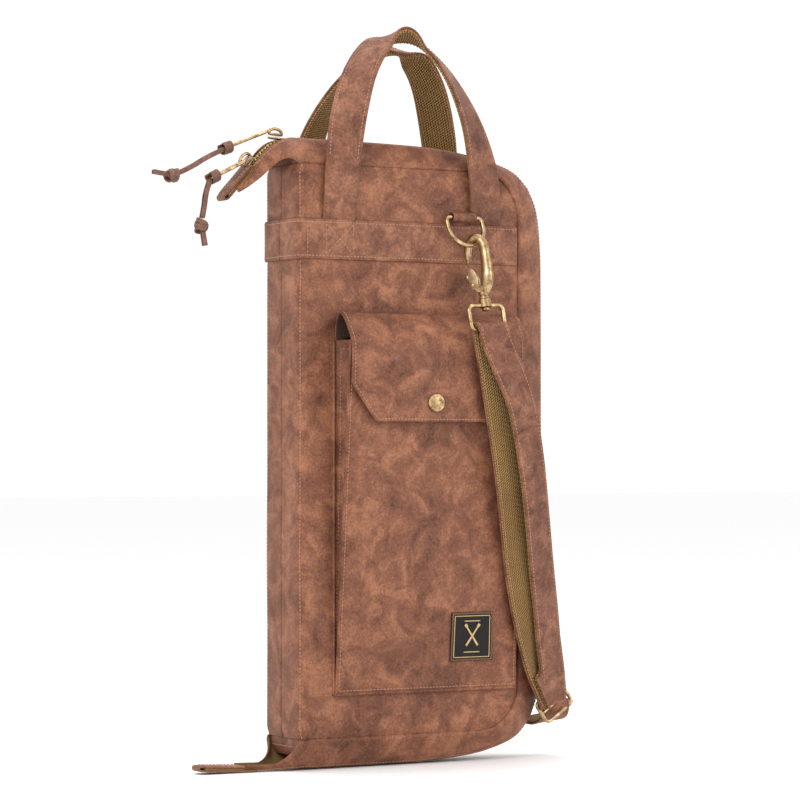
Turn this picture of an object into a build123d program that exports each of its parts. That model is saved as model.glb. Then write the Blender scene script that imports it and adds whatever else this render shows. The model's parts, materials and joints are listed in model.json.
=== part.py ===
from build123d import *
import os
from math import cos, pi, radians, sin

# Zip-round drum stick bag that opens like a book. Millimetres, +Z up, front towards -Y.
# The origin is the middle of the closed zip's lowest run, on the surface the bag stands on.

# Driving dimensions of the bag
SPINE_X = -118.0
PANEL_RIGHT = 89.0
PANEL_LOW = 26.0
PANEL_HIGH = 489.0
PANEL_CORNER = 38.0
HALF_DEPTH = 30.0
ZIP_RIGHT = 121.5
ZIP_HIGH = 511.0
ZIP_DROP = 8.0
ZIP_CORNER = 52.0
FLARE_Y = 16.0
LEATHER = 2.0
GAP = 0.3

# Layers inside each panel
PADDING = 3.0
LINING = 0.8
SPINE_TRIM = 6.0

# Zip
TAPE_EDGE_Y = 7.9
TEETH_EDGE_Y = 2.6
TEETH_GAP_Y = 0.15
TAPE_THICK = 1.4
TEETH_THICK = 2.2
TAIL_HALF_WIDTH = 8.0
TAIL_TAB_HALF_WIDTH = 9.0
TAIL_TAB_THICK = 5.0
KNOT_HALF_WIDTH = 3.6
PULL_THICK = 1.5
PULL_HALF_WIDTH = 2.7
PULL_RISE = 0.6

# Reinforcing band round the top of the bag
BAND_LOW = 412.0
BAND_HIGH = 445.0
BAND_THICK = 1.7

# Carrying handles
STRAP_WIDTH = 30.0
HANDLE_LEFT_X = -83.5
HANDLE_RIGHT_X = 54.0
HANDLE_FOOT_Z = 459.0
HANDLE_TOP_Z = 605.0
HANDLE_END_Z = 450.4
HANDLE_END_HEIGHT = 10.2
HANDLE_LEATHER = 2.2
HANDLE_WEBBING = 1.6
HANDLE_BACK_DROP = 9.0

# Pocket on the front panel
POCKET_LEFT = -88.0
POCKET_RIGHT = 84.0
POCKET_LOW = 61.0
POCKET_HIGH = 348.0
POCKET_FOOT_Y = 34.0
POCKET_LEFT_Y = 59.0
POCKET_RIGHT_Y = 44.0
FLAP_LOW = 281.0
FLAP_TOP = 370.5
FLAP_CHAMFER_X = 25.0
FLAP_CHAMFER_Z = 30.0
SNAP_X = -7.0
SNAP_Z = 297.0
PATCH_X = 38.0
PATCH_Z = 105.0
PATCH_SIDE = 40.0
PATCH_THICK = 1.4
PATCH_BACK_Y = -36.5
PATCH_TURN = 0.0155
PATCH_LEAN = 0.049

# Stick sleeves inside
SLEEVE_LEFT = -100.0
SLEEVE_RIGHT = 70.0
SLEEVE_LOW = 40.0
SLEEVE_HIGH = 300.0
SLEEVE_DEPTH = 11.6

# D-ring and snap hook
RING_X = 30.0
RING_BAR_Y = -38.2
RING_BAR_Z = 450.0
RING_WIRE = 1.75
RING_HALF_WIDTH = 16.75
RING_TILT = 22.5
RING_DROP = 25.6
RING_TAB_WIDTH = 18.4
HOOK_BASE = Vector(38.3, -58.0, 380.0)
HOOK_TOP = Vector(36.0, -46.0, 437.0)
HOOK_ROD = 2.9
SWIVEL_PIN = 2.0
SWIVEL_CLEARANCE = 0.06
EYE_WIDTH = 36.0
EYE_HEIGHT = 20.0
EYE_WIRE = 1.8

# Shoulder strap
STRAP_THICK = 3.2
STRAP_SPLIT_Z = 205.0


def write(builder, name):
    """Label a finished piece and write it to its own file."""
    builder.part.label = name
    export_step(builder.part, f"parts/{name}.step")


def panel_outline(inset, left):
    """A panel's outline, square at the spine and rounded at the mouth."""
    right = PANEL_RIGHT - inset
    low = PANEL_LOW + inset
    high = PANEL_HIGH - inset
    with BuildSketch() as outline:
        with BuildLine():
            FilletPolyline(
                (left, low), (right, low), (right, high), (left, high), radius=PANEL_CORNER - inset
            )
            Line((left, high), (left, low))
        make_face()
    return outline.sketch


def zip_outline(inset, left):
    """The outline that the zip follows, wider than the panel on its three open sides."""
    right = ZIP_RIGHT - inset
    with BuildSketch() as outline:
        with BuildLine():
            FilletPolyline(
                (left, inset),
                (right, inset),
                (right, ZIP_HIGH - ZIP_DROP - inset),
                (left, ZIP_HIGH - inset),
                radius=ZIP_CORNER - inset,
            )
            Line((left, ZIP_HIGH - inset), (left, inset))
        make_face()
    return outline.sketch


def mirrored(piece):
    """The same piece on the back half of the bag."""
    with BuildPart() as back:
        mirror(piece.part, about=Plane.XZ)
    return back


def panel_layer(outer_y, thickness, inset, left):
    """One flat layer of the front panel, from its outer face inwards."""
    outline = panel_outline(inset, left)
    with BuildPart() as layer:
        with BuildSketch(Plane.XZ.offset(outer_y)):
            add(outline)
        extrude(amount=-thickness)
    return layer


def gusset():
    """The flared leather wall between a panel and the zip, open at the spine."""
    panel_y = HALF_DEPTH - LEATHER
    cut_left = SPINE_X - 5.0
    panel_edge = panel_outline(0.0, SPINE_X)
    zip_edge = zip_outline(0.0, SPINE_X)
    inner_panel_edge = panel_outline(LEATHER, cut_left)
    inner_zip_edge = zip_outline(LEATHER, cut_left)
    with BuildPart() as wall:
        with BuildSketch(Plane.XZ.offset(panel_y - GAP)):
            add(panel_edge)
        with BuildSketch(Plane.XZ.offset(FLARE_Y)):
            add(zip_edge)
        loft(ruled=True)
        with BuildSketch(Plane.XZ.offset(FLARE_Y)):
            add(zip_edge)
        extrude(amount=-(FLARE_Y - TAPE_EDGE_Y - GAP))
        with BuildSketch(Plane.XZ.offset(panel_y + GAP)):
            add(inner_panel_edge)
        with BuildSketch(Plane.XZ.offset(FLARE_Y)):
            add(inner_zip_edge)
        loft(ruled=True, mode=Mode.SUBTRACT)
        with BuildSketch(Plane.XZ.offset(FLARE_Y)):
            add(inner_zip_edge)
        extrude(amount=-FLARE_Y, mode=Mode.SUBTRACT)
    return wall


def zip_strip(outer_y, inner_y, thickness):
    """A strip that follows the zip line from one end of the spine round to the other."""
    outer_edge = zip_outline(0.0, SPINE_X)
    inner_edge = zip_outline(thickness, SPINE_X - 5.0)
    with BuildPart() as strip:
        with BuildSketch(Plane.XZ.offset(outer_y)):
            add(outer_edge)
            add(inner_edge, mode=Mode.SUBTRACT)
        extrude(amount=-(outer_y - inner_y))
    return strip


def band():
    """The leather band across the front panel, which covers the handle ends."""
    with BuildPart() as strip:
        with BuildSketch(Plane.XZ.offset(HALF_DEPTH + GAP)):
            with BuildLine():
                Polyline(
                    (SPINE_X, BAND_LOW),
                    (PANEL_RIGHT - 1.0, BAND_LOW),
                    (PANEL_RIGHT - 1.0, BAND_HIGH),
                    (SPINE_X, BAND_HIGH),
                    close=True,
                )
            make_face()
        extrude(amount=BAND_THICK)
    return strip


def sleeve():
    """Two stick sleeves of thin cloth, side by side, open upwards and backed by the lining."""
    back_y = HALF_DEPTH - LEATHER - PADDING - LINING - 3 * GAP
    front_y = back_y - SLEEVE_DEPTH
    cloth = 1.0
    middle = (SLEEVE_LEFT + SLEEVE_RIGHT) / 2
    height = SLEEVE_HIGH - SLEEVE_LOW
    with BuildPart() as pockets:
        with BuildSketch(Plane.XZ.offset(front_y)):
            with Locations((middle, SLEEVE_LOW + height / 2)):
                Rectangle(SLEEVE_RIGHT - SLEEVE_LEFT, height)
        extrude(amount=SLEEVE_DEPTH)
        with BuildSketch(Plane.XZ.offset(front_y + cloth)):
            for side in (-1, 1):
                half = (SLEEVE_RIGHT - SLEEVE_LEFT) / 2
                with Locations((middle + side * half / 2, SLEEVE_LOW + height / 2 + cloth)):
                    Rectangle(half - 2 * cloth, height)
        extrude(amount=SLEEVE_DEPTH, mode=Mode.SUBTRACT)
    return pockets


def box_between(low, high):
    """A plain block between two corners, for small flat pieces."""
    size = [b - a for a, b in zip(low, high)]
    centre = [(a + b) / 2 for a, b in zip(low, high)]
    with BuildPart() as block:
        with BuildSketch(Plane.XY.offset(low[2])):
            with Locations((centre[0], centre[1])):
                Rectangle(size[0], size[1])
        extrude(amount=size[2])
    return block


def bent_strip(points, thickness, half_width, centre_y=0.0):
    """A strip of even thickness along points in XZ, as wide as stated in Y."""
    with BuildPart() as strip:
        with BuildSketch(Plane.XZ.offset(half_width - centre_y)):
            with BuildLine():
                FilletPolyline(*points, radius=thickness)
                offset(amount=thickness / 2, side=Side.BOTH, mode=Mode.REPLACE)
            make_face()
        extrude(amount=-2 * half_width)
    return strip


def ribbon(stations, width, thickness, inset=0.0):
    """A flat strap through stations of (centre, outward direction), leather side outwards."""
    centres = [Vector(*centre) for centre, _ in stations]
    with BuildPart() as strap:
        for i, (_, outward) in enumerate(stations):
            before = centres[max(i - 1, 0)]
            after = centres[min(i + 1, len(centres) - 1)]
            along = (after - before).normalized()
            across = along.cross(Vector(*outward)).normalized()
            outward = across.cross(along).normalized()
            middle = centres[i] - outward * (inset + thickness / 2)
            with BuildSketch(Plane(origin=middle, x_dir=across, z_dir=along)):
                Rectangle(width, thickness)
        loft(ruled=True)
    return strap


def handle_stations(drop):
    """Centres and outward directions up one leg of the front handle, over its top and down."""
    rise = HANDLE_TOP_Z - drop - HANDLE_FOOT_Z
    half = (HANDLE_RIGHT_X - HANDLE_LEFT_X) / 2
    middle = (HANDLE_RIGHT_X + HANDLE_LEFT_X) / 2 + 8.0
    # share of the rise, share of the half width left of the middle, y and turn of the face
    leg = [
        (0.0, 1.0, -35.0, 0),
        (0.22, 0.93, -36.0, 1),
        (0.50, 0.73, -33.0, 30),
        (0.77, 0.47, -24.0, 60),
        (0.94, 0.21, -18.0, 82),
    ]
    stations = []
    for share, spread, y, turn in leg:
        x = middle - spread * half - 8.0 * spread
        face = (-sin(radians(turn)), -cos(radians(turn)), sin(radians(turn)) * 0.5)
        stations.append(((x, y, HANDLE_FOOT_Z + share * rise), face))
    stations.append(((middle, -17.0, HANDLE_FOOT_Z + rise), (0.0, 0.0, 1.0)))
    for share, spread, y, turn in reversed(leg):
        x = middle + spread * half - 8.0 * spread
        face = (sin(radians(turn)), -cos(radians(turn)), sin(radians(turn)) * 0.5)
        stations.append(((x, y, HANDLE_FOOT_Z + share * rise), face))
    return stations


def handle(drop, inset, thickness):
    """One layer of a carrying handle, above the place where it is sewn down."""
    return ribbon(handle_stations(drop), STRAP_WIDTH - 1.0, thickness, inset)


def handle_ends():
    """The sewn ends of a handle, just above the band that covers them."""
    with BuildPart() as ends:
        with BuildSketch(Plane.XZ.offset(HALF_DEPTH + GAP)):
            with Locations((HANDLE_LEFT_X, HANDLE_END_Z), (HANDLE_RIGHT_X, HANDLE_END_Z)):
                Rectangle(STRAP_WIDTH - 1.0, HANDLE_END_HEIGHT)
        extrude(amount=HANDLE_LEATHER + HANDLE_WEBBING)
    return ends


def pocket_profile(outer_top_y, thickness, inset):
    """Corners of the pocket front's section at one side, in the YZ plane."""
    return (
        (-POCKET_FOOT_Y + inset, POCKET_LOW),
        (-outer_top_y + inset, POCKET_HIGH),
        (-outer_top_y + inset + thickness, POCKET_HIGH),
        (-POCKET_FOOT_Y + inset + thickness, POCKET_LOW),
    )


def pocket_front():
    """The pocket's leather front, which leans out further at its left side."""
    with BuildPart() as sheet:
        for x, top_y in ((POCKET_LEFT, POCKET_LEFT_Y), (POCKET_RIGHT, POCKET_RIGHT_Y)):
            with BuildSketch(Plane.YZ.offset(x)):
                with BuildLine():
                    Polyline(*pocket_profile(top_y, LEATHER, 0.0), close=True)
                make_face()
        loft(ruled=True)
    return sheet


def pocket_gusset():
    """The two tapered side walls of the pocket."""
    inside = LEATHER + GAP
    with BuildPart() as walls:
        for x, top_y, step in (
            (POCKET_LEFT, POCKET_LEFT_Y, LEATHER),
            (POCKET_RIGHT, POCKET_RIGHT_Y, -LEATHER),
        ):
            with BuildSketch(Plane.YZ.offset(x)):
                with BuildLine():
                    Polyline(
                        (-HALF_DEPTH - GAP, POCKET_LOW),
                        (-POCKET_FOOT_Y + inside, POCKET_LOW),
                        (-top_y + inside, POCKET_HIGH),
                        (-HALF_DEPTH - GAP, POCKET_HIGH),
                        close=True,
                    )
                make_face()
            extrude(amount=step)
    return walls


def flap_profile(shoulder_y, foot_y, brow_y):
    """Corners of the flap's section at one side: over the pocket's mouth, then down its front."""
    root_y = -HALF_DEPTH - 6.0
    thick = 2.2
    return (
        (root_y, FLAP_TOP),
        (-brow_y, FLAP_TOP),
        (-shoulder_y, POCKET_HIGH + 2.0),
        (-foot_y, FLAP_LOW),
        (-foot_y + thick, FLAP_LOW),
        (-shoulder_y + thick, POCKET_HIGH + 1.2),
        (-brow_y + 0.9, FLAP_TOP - thick),
        (root_y, FLAP_TOP - thick),
    )


def pocket_flap():
    """The pocket's flap, with its two lower corners cut off at an angle."""
    deep = 80.0
    with BuildPart() as flap:
        with BuildSketch(Plane.YZ.offset(POCKET_LEFT)):
            with BuildLine():
                Polyline(*flap_profile(63.5, 58.3, 43.0), close=True)
            make_face()
        with BuildSketch(Plane.YZ.offset(POCKET_RIGHT)):
            with BuildLine():
                Polyline(*flap_profile(49.2, 46.9, 38.5), close=True)
            make_face()
        loft(ruled=True)
        with BuildSketch(Plane.XZ.offset(HALF_DEPTH)):
            for x, step in ((POCKET_LEFT, FLAP_CHAMFER_X), (POCKET_RIGHT, -FLAP_CHAMFER_X)):
                with BuildLine():
                    Polyline(
                        (x - step, FLAP_LOW - FLAP_CHAMFER_Z),
                        (x - step, FLAP_LOW + 2 * FLAP_CHAMFER_Z),
                        (x + step, FLAP_LOW),
                        (x + step, FLAP_LOW - FLAP_CHAMFER_Z),
                        close=True,
                    )
                make_face()
        extrude(amount=deep, mode=Mode.SUBTRACT)
    return flap


def disc(x, z, radius, near_y, far_y):
    """A round piece with its axis along Y, such as half of a snap fastener."""
    with BuildPart() as round_piece:
        with BuildSketch(Plane.XZ.offset(-near_y)):
            with Locations((x, z)):
                Circle(radius)
        extrude(amount=near_y - far_y)
    return round_piece


def snap_button():
    """The snap's brass cap outside the flap, riveted through it to the socket behind."""
    with BuildPart() as button:
        for radius, near_y, far_y in ((7.6, -52.8, -56.4), (1.6, -51.5, -53.5), (5.5, -50.9, -52.1)):
            with BuildSketch(Plane.XZ.offset(-near_y)):
                with Locations((SNAP_X, SNAP_Z)):
                    Circle(radius)
            extrude(amount=near_y - far_y)
    return button


def label_patch():
    """The square woven label, lying on the slanted pocket front."""
    with BuildPart() as patch:
        face = Plane(
            origin=(PATCH_X, PATCH_BACK_Y, PATCH_Z),
            x_dir=(1, PATCH_TURN, 0),
            z_dir=(PATCH_TURN, -1, -PATCH_LEAN),
        )
        with BuildSketch(face):
            Rectangle(PATCH_SIDE, PATCH_SIDE)
        extrude(amount=PATCH_THICK)
    return patch


def ring_tab():
    """The leather loop that holds the D-ring's bar above the band."""
    loop = 4.5
    with BuildPart() as tab:
        with BuildSketch(Plane.YZ.offset(RING_X - RING_TAB_WIDTH / 2)):
            with Locations((RING_BAR_Y, RING_BAR_Z)):
                Circle(loop)
            with Locations(((RING_BAR_Y - HALF_DEPTH - GAP) / 2, RING_BAR_Z)):
                Rectangle(-RING_BAR_Y - HALF_DEPTH - GAP, 2 * loop)
            with Locations((RING_BAR_Y, RING_BAR_Z)):
                Circle(RING_WIRE + 0.25, mode=Mode.SUBTRACT)
        extrude(amount=RING_TAB_WIDTH)
    return tab


def d_ring():
    """The brass D-ring, hanging from its bar and leaning outwards."""
    corner = 4.0
    side = RING_DROP - RING_HALF_WIDTH
    lean = Vector(0, -sin(radians(RING_TILT)), -cos(radians(RING_TILT)))
    ring_plane = Plane(
        origin=(RING_X, RING_BAR_Y, RING_BAR_Z), x_dir=(1, 0, 0), z_dir=Vector(1, 0, 0).cross(-lean)
    )
    half = RING_HALF_WIDTH
    with BuildPart() as ring:
        with BuildLine(ring_plane) as wire:
            Line((0, 0), (half - corner, 0))
            RadiusArc((half - corner, 0), (half, -corner), corner)
            Line((half, -corner), (half, -side))
            ThreePointArc((half, -side), (0, -RING_DROP), (-half, -side))
            Line((-half, -side), (-half, -corner))
            RadiusArc((-half, -corner), (-half + corner, 0), corner)
            Line((-half + corner, 0), (0, 0))
        with BuildSketch(Plane(origin=wire.line @ 0, z_dir=wire.line % 0)):
            Circle(RING_WIRE)
        sweep(path=wire.line)
    return ring


def hook_plane():
    """The plane that the snap hook is bent in: x across it, y up its axis."""
    up = (HOOK_TOP - HOOK_BASE).normalized()
    across = Vector(0.5, -0.866, 0.0)
    normal = across.cross(up).normalized()
    return Plane(origin=HOOK_BASE, x_dir=up.cross(normal) * 1.0, z_dir=normal)


def along_hook(distance):
    """A plane square to the hook's axis, at a distance above its collar."""
    up = (HOOK_TOP - HOOK_BASE).normalized()
    return Plane(origin=HOOK_BASE + up * distance, x_dir=(1, 0, 0.0402), z_dir=up)


def snap_hook():
    """The hook, its barrel and the swivel pin with its riveted head."""
    with BuildPart() as hook:
        with BuildSketch(along_hook(2.0)):
            Circle(4.4)
        extrude(amount=8.0)
        with BuildLine(hook_plane()) as rod:
            FilletPolyline((1.5, 6.0), (6.5, 18.0), (7.0, 47.0), radius=9.0)
            ThreePointArc((7.0, 47.0), (-1.0, 55.0), (-9.0, 47.0))
            Line((-9.0, 47.0), (-9.6, 33.0))
        with BuildSketch(Plane(origin=rod.line @ 0, z_dir=rod.line % 0)):
            Circle(HOOK_ROD)
        sweep(path=rod.line)
        with BuildSketch(along_hook(-7.0)):
            Circle(SWIVEL_PIN)
        extrude(amount=10.0)
        with BuildSketch(along_hook(-7.5)):
            Circle(3.4)
        extrude(amount=2.6)
    return hook


def hook_gate():
    """The sprung thumb gate that closes the hook's mouth."""
    plane = hook_plane()
    with BuildPart() as gate:
        with BuildSketch(plane.offset(-2.0)):
            with BuildLine():
                Polyline(
                    (-9.0, 12.5), (-4.8, 12.5), (-5.0, 17.0), (-7.6, 24.0), (-9.0, 30.0), (-12.0, 30.0),
                    (-12.2, 22.0), close=True
                )
            make_face()
            with Locations((-6.9, 14.9)):
                Circle(1.25, mode=Mode.SUBTRACT)
        extrude(amount=4.0)
    return gate


def gate_pin():
    """The rivet that the gate turns on, held in two small lugs on the barrel's side."""
    plane = hook_plane()
    with BuildPart() as pin:
        with BuildSketch(plane.offset(-4.0)):
            with Locations((-6.9, 14.9)):
                Circle(1.2)
        extrude(amount=8.0)
        for start in (-4.6, 2.6):
            with BuildSketch(plane.offset(start)):
                with Locations((-6.9, 14.9)):
                    Circle(2.4)
                with BuildLine():
                    Polyline((-6.9, 12.5), (-6.9, 17.3), (3.0, 12.0), (3.0, 8.0), (-2.0, 8.0), close=True)
                make_face()
            extrude(amount=2.0)
    return pin


def swivel_eye():
    """The rectangular eye under the hook, with a boss that the swivel pin turns in."""
    up = (HOOK_TOP - HOOK_BASE).normalized()
    plane = Plane(origin=HOOK_BASE - up * 3.0, x_dir=(1, 0, 0.0402), z_dir=Vector(1, 0, 0.0402).cross(up))
    half = EYE_WIDTH / 2 - EYE_WIRE
    corner = 4.5
    with BuildPart() as eye:
        with BuildLine(plane) as wire:
            Line((0, -EYE_HEIGHT), (half - corner, -EYE_HEIGHT))
            RadiusArc((half - corner, -EYE_HEIGHT), (half, -EYE_HEIGHT + corner), -corner)
            Line((half, -EYE_HEIGHT + corner), (half, -corner))
            RadiusArc((half, -corner), (half - corner, 0), -corner)
            Line((half - corner, 0), (-half + corner, 0))
            RadiusArc((-half + corner, 0), (-half, -corner), -corner)
            Line((-half, -corner), (-half, -EYE_HEIGHT + corner))
            RadiusArc((-half, -EYE_HEIGHT + corner), (-half + corner, -EYE_HEIGHT), -corner)
            Line((-half + corner, -EYE_HEIGHT), (0, -EYE_HEIGHT))
        with BuildSketch(Plane(origin=wire.line @ 0, z_dir=wire.line % 0)):
            Circle(EYE_WIRE)
        sweep(path=wire.line)
        with BuildSketch(along_hook(-4.7)):
            Circle(5.0)
        extrude(amount=6.4)
        with BuildSketch(along_hook(-8.0)):
            Circle(SWIVEL_PIN + SWIVEL_CLEARANCE)
        extrude(amount=16.0, mode=Mode.SUBTRACT)
    return eye


# Outer face centres and outward directions down the two runs of the shoulder strap
STRAP_FRONT_RUN = [
    ((42.0, -68.6, 356.0), (0.0, -1.0, 0.0)),
    ((52.0, -69.5, 330.0), (0.05, -1.0, 0.0)),
    ((68.0, -68.5, 297.0), (0.15, -1.0, 0.0)),
    ((81.0, -63.5, 250.0), (0.22, -1.0, 0.0)),
    ((92.0, -55.0, STRAP_SPLIT_Z), (0.27, -1.0, 0.0)),
    ((104.0, -45.0, 160.0), (0.27, -1.0, 0.0)),
    ((112.0, -39.0, 125.0), (0.27, -1.0, 0.0)),
    ((119.0, -34.0, 90.0), (0.3, -1.0, 0.0)),
    ((127.0, -29.0, 64.0), (0.3, -1.0, 0.0)),
]
STRAP_BACK_RUN = [
    ((41.5, -62.0, 348.0), (0.0, -1.0, 0.0)),
    ((45.0, -62.5, 328.0), (0.0, -1.0, 0.0)),
    ((51.5, -60.5, 297.0), (0.05, -1.0, 0.0)),
    ((61.0, -57.5, 250.0), (0.12, -1.0, 0.0)),
    ((71.0, -50.5, STRAP_SPLIT_Z), (0.16, -1.0, 0.0)),
    ((80.0, -44.0, 160.0), (0.18, -1.0, 0.0)),
    ((88.0, -39.5, 122.0), (0.2, -1.0, 0.0)),
    ((99.0, -34.5, 84.0), (0.25, -1.0, 0.0)),
]


def strap_run(stations, above):
    """One run of the strap, above or below the level where it starts to swing."""
    split = [i for i, (centre, _) in enumerate(stations) if centre[2] == STRAP_SPLIT_Z][0]
    if above:
        return ribbon(stations[: split + 1], STRAP_WIDTH - 1.5, STRAP_THICK)
    (x, y, z), outward = stations[split]
    (x2, y2, z2), _ = stations[split + 1]
    share = 1.0 / (z - z2)
    start = ((x + (x2 - x) * share, y + (y2 - y) * share, z - 1.0), outward)
    return ribbon([start] + stations[split + 1 :], STRAP_WIDTH - 1.5, STRAP_THICK)


def strap_tail():
    """The strap beyond the adjuster: back round the bag's corner, then folded in and sewn down."""
    path = ((127.5, -8.0), (127.5, 15.0), (122.6, 15.0), (122.6, -6.0))
    with BuildPart() as tail:
        with BuildSketch(Plane.XY.offset(24.0)):
            with BuildLine():
                FilletPolyline(*path, radius=2.3)
                offset(amount=0.95, side=Side.BOTH, mode=Mode.REPLACE)
            make_face()
        extrude(amount=27.0)
    return tail


def adjuster():
    """The brass slide adjuster: a flat frame with a middle bar."""
    across = Vector(0.86, 0.2, 0.47).normalized()
    normal = across.cross(Vector(-0.3, 0.25, 0.9)).normalized()
    with BuildPart() as frame:
        with BuildSketch(Plane(origin=(132.5, -19.6, 43.0), x_dir=across, z_dir=normal)):
            RectangleRounded(37.0, 21.0, 4.0)
            with Locations((0, 4.7), (0, -4.7)):
                RectangleRounded(31.0, 6.0, 1.5, mode=Mode.SUBTRACT)
        extrude(amount=1.4, both=True)
    return frame


def zip_slider(centre, angle):
    """The plate of a zip slider and the bridge that its pull hangs from."""
    along = Vector(cos(radians(angle)), 0, sin(radians(angle)))
    up = Vector(-sin(radians(angle)), 0, cos(radians(angle)))
    plane = Plane(origin=centre, x_dir=along, z_dir=up)
    with BuildPart() as slider:
        with BuildSketch(plane):
            RectangleRounded(12.0, 9.0, 3.0)
        extrude(amount=2.0)
        with BuildSketch(plane.offset(2.0)):
            Rectangle(6.0, 2.0)
        extrude(amount=1.6)
    return slider


def zip_pull(start, end, centre_y):
    """The flat metal bar of a zip pull."""
    middle = ((start[0] + end[0]) / 2, (start[1] + end[1]) / 2 + PULL_RISE)
    return bent_strip((start, middle, end), PULL_THICK, PULL_HALF_WIDTH, centre_y)


def lace(points, y, name):
    """One strand of the leather lace on a zip pull."""
    strand = 1.1
    radii = []
    for i in range(1, len(points) - 1):
        before = Vector(points[i][0] - points[i - 1][0], points[i][1] - points[i - 1][1])
        after = Vector(points[i + 1][0] - points[i][0], points[i + 1][1] - points[i][1])
        turn = radians(before.get_angle(after))
        radii.append(0.45 * min(before.length, after.length) / (sin(turn / 2) / cos(turn / 2)))
    print(name, "radii", [round(r, 1) for r in radii])
    with BuildPart() as cord:
        with BuildLine(Plane.XZ.offset(-y)) as route:
            FilletPolyline(*points, radius=radii)
        with BuildSketch(Plane(origin=route.line @ 0, z_dir=route.line % 0)):
            Circle(strand)
        sweep(path=route.line)
    length = route.wire().length
    print(name, "length", round(length, 1), "volume", round(cord.part.volume / (pi * strand**2 * length), 3))
    return cord


def knot(points, centre_y):
    """The knot that ties a lace's two strands, with its two short ends."""
    with BuildPart() as tied:
        with BuildSketch(Plane.XZ.offset(KNOT_HALF_WIDTH - centre_y)):
            with BuildLine():
                Polyline(*points, close=True)
            make_face()
        extrude(amount=-2 * KNOT_HALF_WIDTH)
    return tied


os.makedirs("parts", exist_ok=True)
inner_left = SPINE_X + SPINE_TRIM

# Halves of the case
front_layers = {
    "panel": panel_layer(HALF_DEPTH, LEATHER, 0.0, SPINE_X),
    "padding": panel_layer(HALF_DEPTH - LEATHER - GAP, PADDING, 4.0, inner_left),
    "lining": panel_layer(HALF_DEPTH - LEATHER - PADDING - 2 * GAP, LINING, 4.0, inner_left),
    "gusset": gusset(),
    "zip_tape": zip_strip(TAPE_EDGE_Y, TEETH_EDGE_Y + 0.1, TAPE_THICK),
    "zip_teeth": zip_strip(TEETH_EDGE_Y, TEETH_GAP_Y, TEETH_THICK),
    "band": band(),
    "stick_sleeves": sleeve(),
    "handle_ends": handle_ends(),
}
for part_name, piece in front_layers.items():
    write(piece, f"front_{part_name}")
    write(mirrored(piece), f"back_{part_name}")

# Spine, with the tails of the zip above and below it
spine_low = PANEL_LOW + LEATHER + 2 * GAP
spine_high = PANEL_HIGH - LEATHER - 2 * GAP
spine_half = HALF_DEPTH - LEATHER - GAP
write(
    box_between((SPINE_X, -spine_half, spine_low), (SPINE_X + LEATHER, spine_half, spine_high)),
    "spine_panel",
)
write(
    box_between(
        (SPINE_X + LEATHER + GAP, -spine_half + 4, spine_low + 4),
        (SPINE_X + SPINE_TRIM - GAP, spine_half - 4, spine_high - 4),
    ),
    "spine_lining",
)
write(
    box_between(
        (SPINE_X - GAP - BAND_THICK, -HALF_DEPTH + 0.5, BAND_LOW),
        (SPINE_X - GAP, HALF_DEPTH - 0.5, BAND_HIGH),
    ),
    "spine_band",
)
top_tail = ((SPINE_X - 0.8, 509.0), (-135.0, 502.0), (-147.5, 488.0), (-159.0, 474.0))
write(bent_strip(top_tail, 1.6, TAIL_HALF_WIDTH), "top_tail_tape")
write(
    bent_strip(((-162.4, 470.0), (-168.0, 464.2), (-173.0, 459.5)), TAIL_TAB_THICK, TAIL_TAB_HALF_WIDTH),
    "top_tail_tab",
)
bottom_tail = ((SPINE_X - 0.8, 1.2), (-138.0, 1.3), (-152.5, 1.0))
write(bent_strip(bottom_tail, 1.6, TAIL_HALF_WIDTH), "bottom_tail_tape")
write(
    bent_strip(((-157.4, 3.0), (-176.0, 4.4), (-196.0, 5.2)), TAIL_TAB_THICK, TAIL_TAB_HALF_WIDTH),
    "bottom_tail_tab",
)
write(box_between((SPINE_X - 2.6, -7.0, 474.0), (SPINE_X - 0.4, 7.0, 498.0)), "spine_top_flap")
write(box_between((SPINE_X - 2.6, -7.0, 5.0), (SPINE_X - 0.4, 7.0, 40.0)), "spine_bottom_flap")

# Pocket
write(pocket_front(), "pocket_front")
write(pocket_gusset(), "pocket_gusset")
write(box_between((POCKET_LEFT, -34.6, 348.6), (POCKET_RIGHT, -30.3, FLAP_TOP)), "flap_root")
write(pocket_flap(), "pocket_flap")
write(snap_button(), "snap_button")
write(disc(SNAP_X, SNAP_Z, 3.6, -47.6, -50.6), "snap_stud")
write(label_patch(), "label_patch")

# Handles
write(handle(0.0, 0.0, HANDLE_LEATHER), "front_handle")
write(handle(0.0, HANDLE_LEATHER + 0.4, HANDLE_WEBBING), "front_handle_webbing")
write(mirrored(handle(HANDLE_BACK_DROP, 0.0, HANDLE_LEATHER)), "back_handle")
write(mirrored(handle(HANDLE_BACK_DROP, HANDLE_LEATHER + 0.4, HANDLE_WEBBING)), "back_handle_webbing")

# Shoulder strap and its hardware
write(ring_tab(), "d_ring_tab")
write(d_ring(), "d_ring")
write(snap_hook(), "snap_hook")
write(hook_gate(), "hook_gate")
write(gate_pin(), "gate_pin")
write(swivel_eye(), "swivel_eye")
write(strap_run(STRAP_FRONT_RUN, True), "strap_front_upper")
write(strap_run(STRAP_BACK_RUN, True), "strap_back_upper")
write(strap_run(STRAP_FRONT_RUN, False), "strap_front_lower")
write(strap_run(STRAP_BACK_RUN, False), "strap_back_lower")
write(adjuster(), "adjuster")
write(strap_tail(), "strap_tail")

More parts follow.
